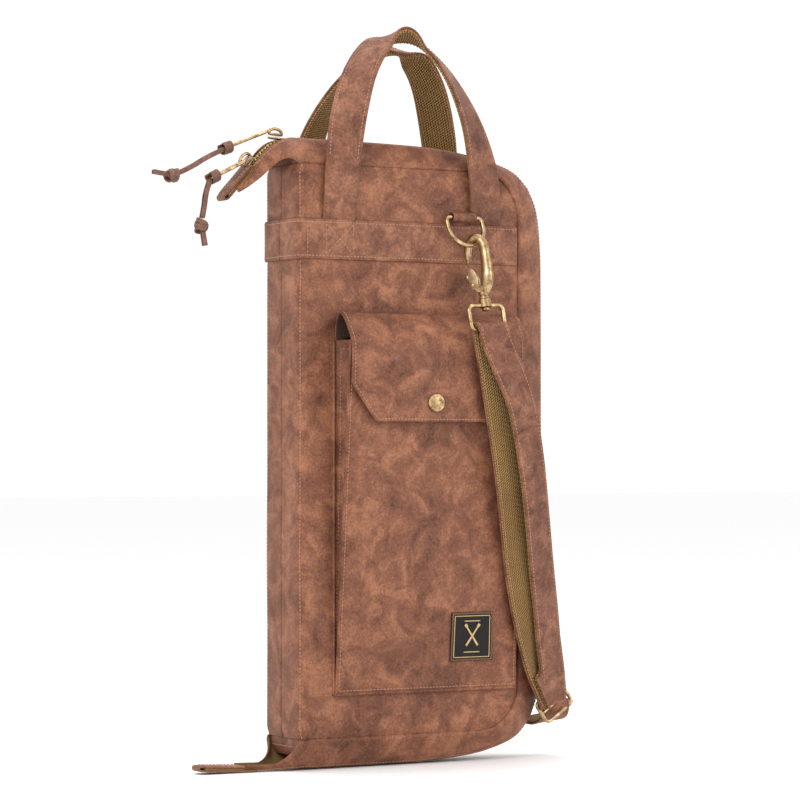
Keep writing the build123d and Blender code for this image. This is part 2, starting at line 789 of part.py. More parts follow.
# Zip sliders with their pulls and laces
write(zip_slider((-125.0, 0, 512.2), -1.9), "zip_slider_upper")
write(zip_pull((-131.8, 512.4), (-168.0, 501.0), 4.0), "zip_pull_upper")
write(zip_slider((-150.2, 0, 490.6), 49.0), "zip_slider_lower")
write(zip_pull((-157.2, 489.0), (-184.0, 475.6), -4.0), "zip_pull_lower")
upper_lace = ((-169.6, 500.0), (-184.0, 493.5), (-198.0, 484.5), (-209.0, 479.5))
lower_lace = ((-185.4, 474.4), (-189.5, 464.0), (-190.5, 453.0), (-192.6, 443.6))
write(lace(upper_lace, 2.6, "upper_lace_front"), "upper_lace_front")
write(lace(upper_lace, 5.4, "upper_lace_rear"), "upper_lace_rear")
write(lace(lower_lace, -5.4, "lower_lace_front"), "lower_lace_front")
write(lace(lower_lace, -2.6, "lower_lace_rear"), "lower_lace_rear")
upper_knot = ((-209.6, 484.0), (-209.6, 474.0), (-220.0, 470.5), (-234.0, 477.0), (-234.0, 482.0))
lower_knot = ((-187.0, 443.0), (-198.0, 443.0), (-199.0, 433.0), (-192.0, 421.0), (-186.0, 421.0))
write(knot(upper_knot, 4.0), "upper_knot")
write(knot(lower_knot, -4.0), "lower_knot")
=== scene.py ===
import json
import math

import bmesh
import bpy
import numpy as np
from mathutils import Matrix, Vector, noise


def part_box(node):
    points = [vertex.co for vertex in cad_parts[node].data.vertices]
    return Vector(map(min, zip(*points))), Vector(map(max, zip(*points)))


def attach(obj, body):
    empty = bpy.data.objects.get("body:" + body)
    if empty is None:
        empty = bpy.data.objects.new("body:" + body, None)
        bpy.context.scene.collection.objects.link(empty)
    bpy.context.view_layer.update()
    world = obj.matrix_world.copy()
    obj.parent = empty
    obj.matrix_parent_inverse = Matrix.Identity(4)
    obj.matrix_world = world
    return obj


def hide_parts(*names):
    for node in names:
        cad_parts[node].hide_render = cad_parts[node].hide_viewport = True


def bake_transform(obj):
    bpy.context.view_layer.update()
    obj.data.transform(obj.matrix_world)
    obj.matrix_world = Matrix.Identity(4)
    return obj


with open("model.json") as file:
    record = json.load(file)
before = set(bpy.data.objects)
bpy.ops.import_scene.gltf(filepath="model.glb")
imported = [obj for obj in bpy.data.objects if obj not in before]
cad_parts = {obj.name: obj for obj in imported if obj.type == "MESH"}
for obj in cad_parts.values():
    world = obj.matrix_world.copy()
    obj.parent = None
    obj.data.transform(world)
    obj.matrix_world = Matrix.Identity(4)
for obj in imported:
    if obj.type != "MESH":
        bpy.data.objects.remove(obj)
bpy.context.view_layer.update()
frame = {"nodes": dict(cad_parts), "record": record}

# ------------ places read from the frame


def span(node_name):
    """A node's lowest and highest corners."""
    low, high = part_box(node_name)
    return Vector(low), Vector(high)


def centre_of(node_name):
    """The middle of a node's box."""
    low, high = span(node_name)
    return (low + high) / 2


def joint(name):
    """A joint's place and the direction of its axis."""
    found = next(j for j in frame["record"]["behaviour"]["joints"] if j["name"] == name)
    return Vector(found["pos_m"]), Vector(found["axis"]).normalized()


panel_low, panel_high = span("front_panel")
band_low, band_high = span("front_band")
LEFT, RIGHT = panel_low.x, panel_high.x
LOW, HIGH = panel_low.z, panel_high.z
FACE = -panel_low.y
CORNER = 0.038
HANDLE_FEET = (-0.0835, 0.054)
HOOK_BASE, HOOK_UP = joint("hook_swivel")
HOOK_NORMAL = joint("gate_open")[1]
MM = 0.001

# Where the soft layers of each half bend away from the spine
BEND_START = Vector((LEFT, -0.020, 0))
BEND_END = Vector((LEFT + 0.018, -0.032, 0))

# ------------ camera

camera = bpy.data.objects.new("camera", bpy.data.cameras.new("camera"))
bpy.context.scene.collection.objects.link(camera)
bpy.context.scene.camera = camera
VIEW_ANGLE = math.radians(-30)
VIEW_DISTANCE = 2.570
VIEW_HEIGHT = 0.257
camera.location = (
    math.sin(VIEW_ANGLE) * VIEW_DISTANCE,
    -math.cos(VIEW_ANGLE) * VIEW_DISTANCE,
    VIEW_HEIGHT,
)
camera.rotation_euler = (math.radians(90), 0, VIEW_ANGLE)
camera.data.sensor_width = 36.0
camera.data.lens = 139.5
camera.data.shift_x = -0.011
camera.data.shift_y = 0.065
camera.data.clip_end = 100
bpy.context.scene.view_settings.view_transform = "Standard"

# ------------ materials


class Value:
    """A shader value for sums: each operator adds one Math node."""

    def __init__(self, socket):
        self.socket = socket

    def maths(self, operation, other=0.0):
        """The result of a Math node on this value and another."""
        made = node(self.socket.id_data, "Math", {0: self, 1: other}, operation=operation)
        return Value(made.outputs[0])

    def __add__(self, other):
        return self.maths("ADD", other)

    def __sub__(self, other):
        return self.maths("SUBTRACT", other)

    def __mul__(self, other):
        return self.maths("MULTIPLY", other)


def node(tree, kind, inputs=None, **settings):
    """A new shader node with its settings, and its inputs set or linked."""
    made = tree.nodes.new("ShaderNode" + kind)
    for key, value in settings.items():
        setattr(made, key, value)
    for key, value in (inputs or {}).items():
        value = getattr(value, "socket", value)
        if isinstance(value, bpy.types.NodeSocket):
            tree.links.new(value, made.inputs[key])
        else:
            made.inputs[key].default_value = value
    return made


def new_material(name, **constants):
    """A material, its node tree and its shader, with constant values on the shader's own sockets."""
    material = bpy.data.materials.new(name)
    material.use_nodes = True
    shader = material.node_tree.nodes["Principled BSDF"]
    for key, value in constants.items():
        shader.inputs[key.replace("_", " ")].default_value = value
    return material, material.node_tree, shader


def rest_place(tree, on_frame=False):
    """The place on the resting object, which a texture sticks to when a piece bends."""
    if on_frame:
        return node(tree, "TexCoord").outputs["Object"]
    return node(tree, "Attribute", attribute_name="rest").outputs["Vector"]


def cloudy(spot, scale, detail, **more):
    """Fractal noise over a place, with its scale in waves per metre."""
    inputs = {"Vector": spot, "Scale": scale, "Detail": detail, **more}
    return Value(node(spot.id_data, "TexNoise", inputs).outputs["Fac"])


def ramp(factor, *stops):
    """A colour ramp through (position, colour) stops."""
    made = node(factor.socket.id_data, "ValToRGB", {"Fac": factor})
    elements = made.color_ramp.elements
    while len(elements) < len(stops):
        elements.new(0.5)
    for element, (position, colour) in zip(elements, stops):
        element.position = position
        element.color = (*colour, 1.0)
    return made.outputs["Color"]


def dress(shader, colour, height, strength, depth):
    """Give a shader its colour and the bumps of a height."""
    tree = shader.id_data
    tree.links.new(colour, shader.inputs["Base Color"])
    bump = node(tree, "Bump", {"Height": height, "Strength": strength, "Distance": depth})
    tree.links.new(bump.outputs["Normal"], shader.inputs["Normal"])


def rub(shader, value, rough, smooth):
    """Let a shader's roughness fall from rough to smooth as a value rises."""
    limits = {"Value": value, "From Min": 0.3, "From Max": 0.7, "To Min": rough, "To Max": smooth}
    spread = node(shader.id_data, "MapRange", limits)
    shader.id_data.links.new(spread.outputs["Result"], shader.inputs["Roughness"])


def leather(name, dark, body, light, rough=0.50, cloud_size=0.020, on_frame=False):
    """Mottled soft leather with a fine pebble grain."""
    material, tree, shader = new_material(name, Specular_IOR_Level=0.26)
    spot = rest_place(tree, on_frame)
    clouds = cloudy(spot, 1 / cloud_size, 5.0, Roughness=0.62, Distortion=0.7)
    speckle = cloudy(spot, 520.0, 4.0, Roughness=0.75)
    tone = clouds * 0.72 + cloudy(spot, 14.0, 3.0) * 0.28 + (speckle - 0.5) * 0.55
    cells = node(tree, "TexVoronoi", {"Vector": spot, "Scale": 780.0}, feature="DISTANCE_TO_EDGE")
    pebbles = Value(cells.outputs["Distance"]).maths("MINIMUM", 0.22)
    colour = ramp(tone, (0.30, dark), (0.50, body), (0.70, light))
    dress(shader, colour, pebbles * 2.2 + speckle * 0.9, 0.6, 0.0003)
    rub(shader, clouds, rough + 0.08, rough - 0.06)
    return material


def woven(name, gap_shade_and_wear, yarn, crest_highlight, pitch, rough=0.8, bump=0.8, slant=0.0):
    """Cloth woven at the given pitch, in metres, over the piece's own map, with painted shade in the gaps
    between its yarns and a painted highlight on their crests.
    """
    material, tree, shader = new_material(name, Specular_IOR_Level=0.2, Roughness=rough)
    own_map = node(tree, "SeparateXYZ", {"Vector": node(tree, "UVMap", uv_map="metres").outputs["UV"]})
    u, v = Value(own_map.outputs["X"]), Value(own_map.outputs["Y"])
    waves = [(value * (math.pi / pitch)).maths("SINE") for value in (u, v + u * slant)]
    over = (waves[0] * waves[1]).maths("GREATER_THAN")
    warp, weft = (value.maths("ABSOLUTE").maths("POWER", 0.6) for value in waves)
    spot = rest_place(tree)
    fuzz, wear = cloudy(spot, 900.0, 2.0), cloudy(spot, 40.0, 3.0)
    height = over * warp + (over * -1.0 + 1.0) * weft + (fuzz - 0.5) * 0.5
    # Painted shade and painted highlight: the colour follows the weave's height, dark in the gaps between
    # yarns and light on their crests
    colour = ramp(height, (0.15, gap_shade_and_wear), (0.62, yarn), (1.0, crest_highlight))
    # Random wear patches are pulled towards the gaps' painted shade colour
    weave_shade_and_wear = node(tree, "Mix", {0: wear * 0.35, 6: colour, 7: (*gap_shade_and_wear, 1.0)}, data_type="RGBA")
    dress(shader, weave_shade_and_wear.outputs[2], height, bump, pitch * 0.35)
    return material


def metal(name, patina, body, polish, rough=0.32, on_frame=False):
    """Antiqued metal: dark patina in patches, rubbed bright over them."""
    material, tree, shader = new_material(name, Metallic=1.0)
    spot = rest_place(tree, on_frame)
    patches = cloudy(spot, 150.0, 4.0, Roughness=0.6, Distortion=0.3)
    colour = ramp(patches, (0.32, patina), (0.52, body), (0.72, polish))
    dress(shader, colour, patches + cloudy(spot, 1500.0, 3.0) * 0.4, 0.05, 0.0002)
    rub(shader, patches, rough + 0.16, rough - 0.08)
    return material


def thread(name, dark, light):
    """Twisted sewing thread."""
    material, tree, shader = new_material(name, Roughness=0.7, Sheen_Weight=0.3)
    twist = cloudy(rest_place(tree), 1400.0, 2.0)
    dress(shader, ramp(twist, (0.3, dark), (0.7, light)), twist, 0.5, 0.0002)
    return material


LACE_COLOURS = (0.055, 0.030, 0.022), (0.160, 0.078, 0.052), (0.270, 0.140, 0.095)
BRASS_COLOURS = (0.190, 0.112, 0.055), (0.450, 0.305, 0.160), (0.680, 0.520, 0.310)
LEATHER = leather("bag_leather", (0.070, 0.024, 0.013), (0.188, 0.070, 0.037), (0.360, 0.150, 0.076))
STRAP_LEATHER = leather("strap_leather", (0.072, 0.026, 0.015), (0.178, 0.069, 0.039),
                        (0.335, 0.146, 0.079), cloud_size=0.014)
LACE = leather("lace_leather", *LACE_COLOURS, on_frame=True)
KNOT_LEATHER = leather("knot_leather", *LACE_COLOURS)
SUEDE = leather("leather_back", (0.028, 0.013, 0.008), (0.052, 0.026, 0.017), (0.085, 0.045, 0.028),
                rough=0.85)
# In each weave the first colour is painted shade for the gaps between yarns, and the last is a painted
# highlight for their crests
WEBBING = woven("webbing_weave", (0.008, 0.003, 0.001), (0.120, 0.056, 0.015), (0.420, 0.250, 0.090),
                0.0021, bump=1.0, slant=0.5)
LINING = woven("lining_weave", (0.010, 0.009, 0.008), (0.045, 0.040, 0.036), (0.080, 0.072, 0.064), 0.0007)
TAPE = woven("zip_tape_weave", (0.040, 0.021, 0.008), (0.210, 0.120, 0.045), (0.330, 0.200, 0.080), 0.0009)
LABEL_CLOTH = woven("label_weave", (0.003, 0.003, 0.003), (0.013, 0.012, 0.011), (0.026, 0.023, 0.021),
                    0.00045, rough=0.7, bump=0.5)
THREAD = thread("stitching_thread", (0.290, 0.125, 0.062), (0.480, 0.225, 0.115))
GOLD_THREAD = thread("gold_thread", (0.380, 0.250, 0.090), (0.640, 0.450, 0.190))
BRASS = metal("antique_brass", *BRASS_COLOURS)
FRAME_BRASS = metal("antique_brass_frame", *BRASS_COLOURS, on_frame=True)
COIL_BRASS = metal("zip_coil_brass", (0.300, 0.200, 0.070), (0.560, 0.400, 0.150), (0.760, 0.600, 0.300),
                   rough=0.4)

# ------------ mesh helpers


def new_piece(name, verts, faces, material, uv=None, closed=False):
    """A smooth-shaded mesh in the row frame, with its own map in metres stored on it."""
    mesh = bpy.data.meshes.new(name)
    mesh.from_pydata([tuple(v) for v in verts], [], faces)
    if closed:
        solid = bmesh.new()
        solid.from_mesh(mesh)
        bmesh.ops.recalc_face_normals(solid, faces=solid.faces)
        solid.to_mesh(mesh)
        solid.free()
    if uv is not None:
        layer = mesh.uv_layers.new(name="metres")
        corners = np.empty(len(mesh.loops), int)
        mesh.loops.foreach_get("vertex_index", corners)
        layer.data.foreach_set("uv", np.asarray(uv, float)[corners].ravel())
    mesh.shade_smooth()
    for entry in material if isinstance(material, tuple) else (material,):
        mesh.materials.append(entry)
    made = bpy.data.objects.new(name, mesh)
    bpy.context.scene.collection.objects.link(made)
    return made


def place(made, slot, body=None, bend=None, replaces=()):
    """Finish a piece: store its resting place, then let it ride on a body, or, when given a bend, bake its
    place into its mesh.
    """
    mesh = made.data
    spots = np.empty(len(mesh.vertices) * 3)
    mesh.vertices.foreach_get("co", spots)
    mesh.attributes.new("rest", "FLOAT_VECTOR", "POINT").data.foreach_set("vector", spots)
    if bend:
        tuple(bend[2])
        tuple(bend[3])
        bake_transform(made)
    else:
        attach(made, body)
    if replaces:
        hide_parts(*replaces)


def joined(name, pieces):
    """Several meshes made into one piece."""
    bpy.ops.object.select_all(action="DESELECT")
    for piece in pieces:
        bpy.context.view_layer.objects.active = piece
        for modifier in list(piece.modifiers):
            bpy.ops.object.modifier_apply(modifier=modifier.name)
        piece.select_set(True)
    bpy.context.view_layer.objects.active = pieces[0]
    bpy.ops.object.join()
    pieces[0].name = name
    pieces[0].data.name = name
    return pieces[0]


def unit(vectors):
    """Vectors of length one."""
    vectors = np.asarray(vectors, float)
    return vectors / np.maximum(np.linalg.norm(vectors, axis=-1, keepdims=True), 1e-12)


def smoothstep(value):
    """A soft step from 0 to 1."""
    value = np.clip(value, 0, 1)
    return value * value * (3 - 2 * value)


def distances(points):
    """How far along a polyline each of its points lies."""
    return np.concatenate(([0], np.cumsum(np.linalg.norm(np.diff(points, axis=0), axis=1))))


def even(points, count):
    """A polyline resampled at even distances."""
    points = np.asarray(points, float)
    reach = distances(points)
    where = np.linspace(0, reach[-1], count)
    return np.stack([np.interp(where, reach, column) for column in points.T], axis=1)


def smooth_line(points, count):
    """Points evenly spaced on a smooth curve through the given points."""
    points = np.asarray(points, float)
    ends = np.vstack((2 * points[0] - points[1], points, 2 * points[-1] - points[-2]))
    fine = []
    for a, b, c, d in zip(ends, ends[1:], ends[2:], ends[3:]):
        for t in np.linspace(0, 1, 24, endpoint=False):
            cubic = (2 * a - 5 * b + 4 * c - d) * t**2 + (3 * b - a - 3 * c + d) * t**3
            fine.append(0.5 * (2 * b + (c - a) * t + cubic))
    fine.append(ends[-2])
    return even(fine, count)


def tangents(points):
    """Directions along a line of points."""
    return unit(np.gradient(np.asarray(points, float), axis=0))


def grid_of(point, downs, acrosses):
    """A grid of the points that a function gives for each place down and across."""
    return np.array([[point(down, across) for across in acrosses] for down in downs], float)


def skin(name, grid, material, outward, thickness, levels=1):
    """A sheet over a grid of points, thickened away from its outward side, with a map in metres.

    A second material, if there is one, is for its back.
    """
    grid = np.asarray(grid, float)
    rows, cols = grid.shape[:2]
    faces = []
    for i in range(rows - 1):
        for j in range(cols - 1):
            near, far = i * cols + j, (i + 1) * cols + j
            faces.append((near, near + 1, far + 1, far))
    corner = grid[rows // 2, cols // 2]
    normal = np.cross(grid[rows // 2, cols // 2 + 1] - corner, grid[rows // 2 + 1, cols // 2] - corner)
    if np.dot(normal, outward) < 0:
        faces = [face[::-1] for face in faces]
    down = np.linalg.norm(np.diff(grid, axis=0), axis=2).mean(axis=1)
    across = np.linalg.norm(np.diff(grid, axis=1), axis=2).mean(axis=0)
    u, v = (np.concatenate(([0], np.cumsum(steps))) for steps in (across, down))
    uv = np.stack(np.meshgrid(u, v), axis=-1).reshape(-1, 2)
    made = new_piece(name, grid.reshape(-1, 3), faces, material, uv)
    wall = made.modifiers.new("thickness", "SOLIDIFY")
    wall.thickness = thickness
    wall.offset = -1.0
    wall.material_offset = 1 if isinstance(material, tuple) else 0
    if levels:
        finer = made.modifiers.new("finer", "SUBSURF")
        finer.levels = levels
        finer.render_levels = levels
    return made


def ring(centre, side, up, sides):
    """Points of an ellipse round a centre, with side and up as its half axes."""
    angles = 2 * math.pi * np.arange(sides) / sides
    return np.array(centre) + np.outer(np.cos(angles), side) + np.outer(np.sin(angles), up)


def ring_faces(rings, sides, base=0, loop=False):
    """Faces between rings of points, with both ends capped unless they run in a loop."""
    faces = []
    for i in range(rings if loop else rings - 1):
        near, far = base + i * sides, base + (i + 1) % rings * sides
        for k in range(sides):
            m = (k + 1) % sides
            faces.append((near + k, near + m, far + m, far + k))
    if not loop:
        last = base + (rings - 1) * sides
        faces += [tuple(range(base, base + sides)), tuple(range(last, last + sides))]
    return faces


def strap_frames(centres, outward):
    """Across and outward directions for a flat strap along centres."""
    along = tangents(centres)
    across = unit(np.cross(along, outward))
    return across, unit(np.cross(across, along))


def strap_section(thick, crown, steps=8):
    """The section of a strap one wide: soft edges and a slightly crowned face, as (across, outward) pairs."""
    edge = thick / 2
    spread = np.linspace(-1, 1, steps)
    flat = 0.5 - edge * 0.8
    upper = [(s * flat, edge * (1 + crown * (1 - s * s))) for s in spread]
    lower = [(s * flat, -edge) for s in spread[::-1]]
    right = [(0.5 - edge * 0.2, edge * 0.62), (0.5, 0.0), (0.5 - edge * 0.2, -edge * 0.62)]
    left = [(-a, -b) for a, b in right]
    return upper + right + lower + left


def strap(name, centres, outward, width, thick, material, shape=1.0, crown=0.15):
    """A flat strap with rounded edges swept along centres, whose width follows a shape along it."""
    centres = np.asarray(centres, float)
    across, out = strap_frames(centres, outward)
    section = strap_section(thick / width, crown)
    widths = np.broadcast_to(width * shape, len(centres))
    reach = distances(centres)
    verts, uv = [], []
    for i, centre in enumerate(centres):
        for a, b in section:
            verts.append(centre + across[i] * a * widths[i] + out[i] * b * width)
            uv.append((a * widths[i], reach[i]))
    return new_piece(name, verts, ring_faces(len(centres), len(section)), material, uv, closed=True)


def edge_stitches(lines, out, shift, lifts):
    """Rows of stitches along both edges of a strap's layers, each lifted off its own face."""
    rows = []
    for away in (-shift, shift):
        for line, lift in zip(lines, lifts):
            across, up = strap_frames(line, out)
            rows.append((line + across * away + up * lift, up * math.copysign(1, lift)))
    return rows


def tube(name, centres, radii, material, sides=14, flat=1.0, normal=(0, 1, 0), closed=False):
    """A rod along centres, whose radius changes along it and whose section may be flattened along normal."""
    centres = np.asarray(centres, float)
    count = len(centres)
    radii = np.broadcast_to(np.asarray(radii, float), count)
    along = unit(np.roll(centres, -1, axis=0) - np.roll(centres, 1, axis=0)) if closed else tangents(centres)
    side = unit(np.cross(along, normal))
    up = unit(np.cross(side, along))
    verts = []
    for i in range(count):
        verts.extend(ring(centres[i], side[i] * radii[i], up[i] * radii[i] * flat, sides))
    return new_piece(name, verts, ring_faces(count, sides, loop=closed), material, closed=True)


def turned(name, profile, centre, axis, steps=40):
    """A round brass piece: a profile of (radius, height) turned about an axis."""
    x, y, z = np.array(Vector(axis).normalized().to_track_quat("Z", "Y").to_matrix()).T
    verts = []
    for radius, height in profile:
        verts.extend(ring(np.array(centre) + z * height, x * radius, y * radius, steps))
    return new_piece(name, verts, ring_faces(len(profile), steps), BRASS, closed=True)


def slab(near, far, rounding, segments):
    """A brass plate between two equal outlines, with rounded edges."""
    made = new_piece("slab", [*near, *far], ring_faces(2, len(near)), BRASS, closed=True)
    bevel = made.modifiers.new("round", "BEVEL")
    bevel.width, bevel.segments = rounding, segments
    return made


def rounded_loop(half_u, half_v, corner, steps=8):
    """Corners of a rounded rectangle, in order round it."""
    loop = []
    for u, v, start in ((1, 1, 0), (-1, 1, 90), (-1, -1, 180), (1, -1, 270)):
        for angle in np.radians(start + np.linspace(0, 90, steps)):
            loop.append((u * (half_u - corner) + corner * math.cos(angle),
                         v * (half_v - corner) + corner * math.sin(angle)))
    return loop


def in_frame(centre, u_axis, v_axis, pairs):
    """Points of a plane, from its middle and two axes."""
    return [centre + u_axis * u + v_axis * v for u, v in pairs]


# Shift along the stitch, size and lift of each ring of a stitch, as shares of its length and radius
STITCH_RINGS = ((-0.5, 0.35, -0.7), (-0.3, 0.95, 0.1), (0.0, 1.0, 0.35), (0.3, 0.95, 0.1), (0.5, 0.35, -0.7))


def stitches(name, rows, pitch=0.0031, length=0.0024, radius=0.00038, sides=6):
    """Rows of sewn stitches, each (points, outward directions). A stitch dips in at its ends."""
    verts, faces = [], []
    for points, outward in rows:
        line = np.hstack((points, np.broadcast_to(outward, np.shape(points))))
        reach = distances(points)
        count = max(int(reach[-1] / pitch), 1)
        for n in range(count):
            at = (n + 0.5) * reach[-1] / count
            here, before, after = (np.array([np.interp(spot, reach, column) for column in line.T])
                                   for spot in (at, at - 0.3 * length, at + 0.3 * length))
            along = unit(after[:3] - before[:3])
            side = unit(np.cross(along, here[3:]))
            out = unit(np.cross(side, along))
            along = unit(along + side * 0.10)
            faces += ring_faces(len(STITCH_RINGS), sides, len(verts))
            for shift, size, lift in STITCH_RINGS:
                centre = here[:3] + along * shift * length + out * lift * radius
                verts.extend(ring(centre, side * size * radius, out * size * radius, sides))
    return new_piece(name, verts, faces, THREAD, closed=True)


def surface_point(grid, a, b):
    """The place on a grid at shares a down its rows and b across its columns."""
    i, j = a * (grid.shape[0] - 1), b * (grid.shape[1] - 1)
    i0, j0 = min(int(i), grid.shape[0] - 2), min(int(j), grid.shape[1] - 2)
    cell = grid[i0 : i0 + 2, j0 : j0 + 2]
    above, below = cell[:, 0] * (1 - (j - j0)) + cell[:, 1] * (j - j0)
    return above * (1 - (i - i0)) + below * (i - i0)


def row_on(grid, route, outward, steps=60, near=0.004):
    """A line of points and outward directions for stitches, along a route of (a, b) shares of a grid."""
    points, out = [], []
    for (a0, b0), (a1, b1) in zip(route, route[1:]):
        for t in np.linspace(0, 1, steps, endpoint=False):
            a, b = a0 + (a1 - a0) * t, b0 + (b1 - b0) * t
            down = surface_point(grid, min(a + near, 1), b) - surface_point(grid, max(a - near, 0), b)
            across = surface_point(grid, a, min(b + near, 1)) - surface_point(grid, a, max(b - near, 0))
            normal = unit(np.cross(across, down))
            points.append(surface_point(grid, a, b))
            facing = outward(points[-1]) if callable(outward) else outward
            out.append(normal if np.dot(normal, facing) > 0 else -normal)
    return np.array(points), np.array(out)


def wave(x, y, z, size, height):
    """A small unevenness of soft leather."""
    return noise.noise(Vector((x, y, z)) / size) * height


def flipped(points, side):
    """Points of the front half, or their mirror image on the back half."""
    return np.array(points, float) * (1, side, 1)


def to_half(side, name):
    """The name of a piece on the front or back half."""
    return ("front_" if side > 0 else "back_") + name


def spine_bend(side):
    """The bodies and the start and end of the bend where a piece of one half meets the spine, as given to
    place, which does not bend the piece.
    """
    start, end = (Vector(flipped(place, side)) for place in (BEND_START, BEND_END))
    return "spine", to_half(side, "half"), start, end


# ------------ leads: the laces on the zip pulls

UPPER_ROUTE = [(-0.1696, 0.5000), (-0.1840, 0.4935), (-0.1980, 0.4845), (-0.2090, 0.4795)]
LOWER_ROUTE = [(-0.1854, 0.4744), (-0.1895, 0.4640), (-0.1905, 0.4530), (-0.1926, 0.4436)]
LACE_WIDTH = 0.0038
LACE_THICK = 0.0012


def lace(name, route, y, body, length, knot):
    """One flat strand of a pull's leather lace, on a smooth curve through its route."""
    curve = bpy.data.curves.new(name, "CURVE")
    curve.dimensions = "3D"
    curve.twist_mode = "Z_UP"
    curve.bevel_depth = LACE_THICK / 2
    curve.extrude = (LACE_WIDTH - LACE_THICK) / 2
    curve.bevel_resolution = 3
    curve.resolution_u = 12
    curve.use_fill_caps = True
    line = curve.splines.new("NURBS")
    line.points.add(len(route) - 1)
    for point, (x, z) in zip(line.points, route):
        point.co = (x, y, z, 1)
    line.order_u = 3
    line.use_endpoint_u = True
    curve.materials.append(LACE)
    made = bpy.data.objects.new(name, curve)
    bpy.context.scene.collection.objects.link(made)
    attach(made, body)
    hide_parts(name.replace("_strand", ""))

# ------------ outlines of the two halves

TOP_STEPS, SIDE_STEPS, BOTTOM_STEPS, TAIL_STEPS = 60, 80, 60, 18
# Heights of the zip's edge along the top and bottom, which the closed mouth pulls into a soft curve
ZIP_TOP = [(LEFT, 0.5110), (-0.090, 0.5110), (0.0, 0.5095), (0.040, 0.5060), (0.072, 0.4995),
           (0.094, 0.4915), (0.108, 0.4790)]
ZIP_SIDE = [(0.108, 0.4790), (0.1165, 0.4600), (0.1205, 0.4300), (0.1215, 0.3800), (0.1215, 0.1300),
            (0.1205, 0.0800), (0.1180, 0.0530), (0.1110, 0.0340)]
ZIP_BOTTOM = [(0.1110, 0.0340), (0.0985, 0.0195), (0.0800, 0.0110), (0.0500, 0.0045), (0.0, 0.0012),
              (-0.070, 0.0010), (LEFT, 0.0010)]
# The zip's tails beyond the spine, from the spine outwards
TOP_TAIL = smooth_line([(LEFT, 0.5110), (-0.128, 0.5075), (-0.138, 0.4995), (-0.1475, 0.4885),
                        (-0.159, 0.4745), (-0.1645, 0.4685)], TAIL_STEPS + 1)
BOTTOM_TAIL = smooth_line([(LEFT, 0.0010), (-0.130, 0.0012), (-0.145, 0.0011), (-0.157, 0.0016)],
                          TAIL_STEPS + 1)


def panel_corner(angles, end, way):
    """Points round the panel's upper corner, or with a way of -1 round its lower one."""
    return [(RIGHT - CORNER + CORNER * math.sin(a), end + way * CORNER * (math.cos(a) - 1)) for a in angles]


def panel_sections():
    """The panel's outline from the spine round to the spine again, in three stretches."""
    eighth, rest = np.linspace(0, math.pi / 4, 16), np.linspace(math.pi / 4, math.pi / 2, 16)
    top = [(LEFT, HIGH)] + panel_corner(eighth, HIGH, 1)
    side = panel_corner(rest, HIGH, 1) + panel_corner(rest[::-1], LOW, -1)
    return top, side, panel_corner(eighth[::-1], LOW, -1) + [(LEFT, LOW)]


def stretches(top, side, bottom, line):
    """Three stretches of an outline as one even line of stations."""
    return np.vstack((line(top, TOP_STEPS), line(side, SIDE_STEPS)[1:], line(bottom, BOTTOM_STEPS)[1:]))


PANEL_EDGE = stretches(*panel_sections(), even)
ZIP_EDGE = stretches(ZIP_TOP, ZIP_SIDE, ZIP_BOTTOM, smooth_line)
WHOLE_ZIP = np.vstack((TOP_TAIL[:0:-1], ZIP_EDGE, BOTTOM_TAIL[1:]))
zip_turn = tangents(WHOLE_ZIP)
ZIP_INWARD = np.stack((zip_turn[:, 1], -zip_turn[:, 0]), axis=1)
if ZIP_INWARD[len(ZIP_INWARD) // 2, 0] > 0:
    ZIP_INWARD = -ZIP_INWARD

# Share of the way from the panel's seam to the zip's edge, and distance from the middle plane
GUSSET_SECTION = [(-0.03, 0.0272), (0.0, 0.0286), (0.03, 0.0293), (0.12, 0.0293), (0.30, 0.0274),
                  (0.50, 0.0245), (0.70, 0.0212), (0.86, 0.0178), (0.95, 0.0148), (1.0, 0.0118),
                  (0.985, 0.0082)]
GUSSET_WIDE = 0.03


def lip_row(section, tail, k, seam, away):
    """One row of the gusset's lip: the zip side follows the tail while the seam side draws up to it."""
    share = k / TAIL_STEPS
    zx, zz = tail[k]
    draw = smoothstep(share * 1.5) if away > 0 else 1 - max(1 - share * 1.35, 0) ** 1.6
    px = seam[0] + (zx - seam[0]) * share
    pz = seam[1] + (zz - 0.0035 * away - seam[1]) * draw
    return [(px + (zx - px) * s, -(y * (1 - draw) + (0.0118 - 0.0034 * s) * draw), pz + (zz - pz) * s)
            for s, y in section]


def gusset_grid():
    """The front gusset from the panel's seam to the zip's edge, with lips along the zip's tails."""
    section = smooth_line([(s * GUSSET_WIDE, y) for s, y in GUSSET_SECTION], 26) / (GUSSET_WIDE, 1)
    rows = [lip_row(section, TOP_TAIL, k, PANEL_EDGE[0], 1) for k in range(TAIL_STEPS, 0, -1)]
    for (px, pz), (zx, zz) in zip(PANEL_EDGE, ZIP_EDGE):
        row = []
        for share, y in section:
            x, z = px + (zx - px) * share, pz + (zz - pz) * share
            lift = wave(x, y, z, 0.045, 0.0013) * math.sin(math.pi * min(share, 1.0))
            row.append((x, -(y + lift), z))
        rows.append(row)
    rows += [lip_row(section, BOTTOM_TAIL, k, PANEL_EDGE[-1], -1) for k in range(1, TAIL_STEPS + 1)]
    return np.array(rows)


def seam_distance(x, z):
    """Distance from the panel's seam on its three free sides."""
    dx, dz = RIGHT - x, min(HIGH - z, z - LOW)
    if dx < CORNER and dz < CORNER:
        return CORNER - math.hypot(CORNER - dx, CORNER - dz)
    return min(dx, dz)


def free_edge(z):
    """Where a panel's rounded free side is, at a height."""
    over = max(z - (HIGH - CORNER), (LOW + CORNER) - z, 0)
    return RIGHT - CORNER + math.sqrt(max(CORNER**2 - over**2, 0))


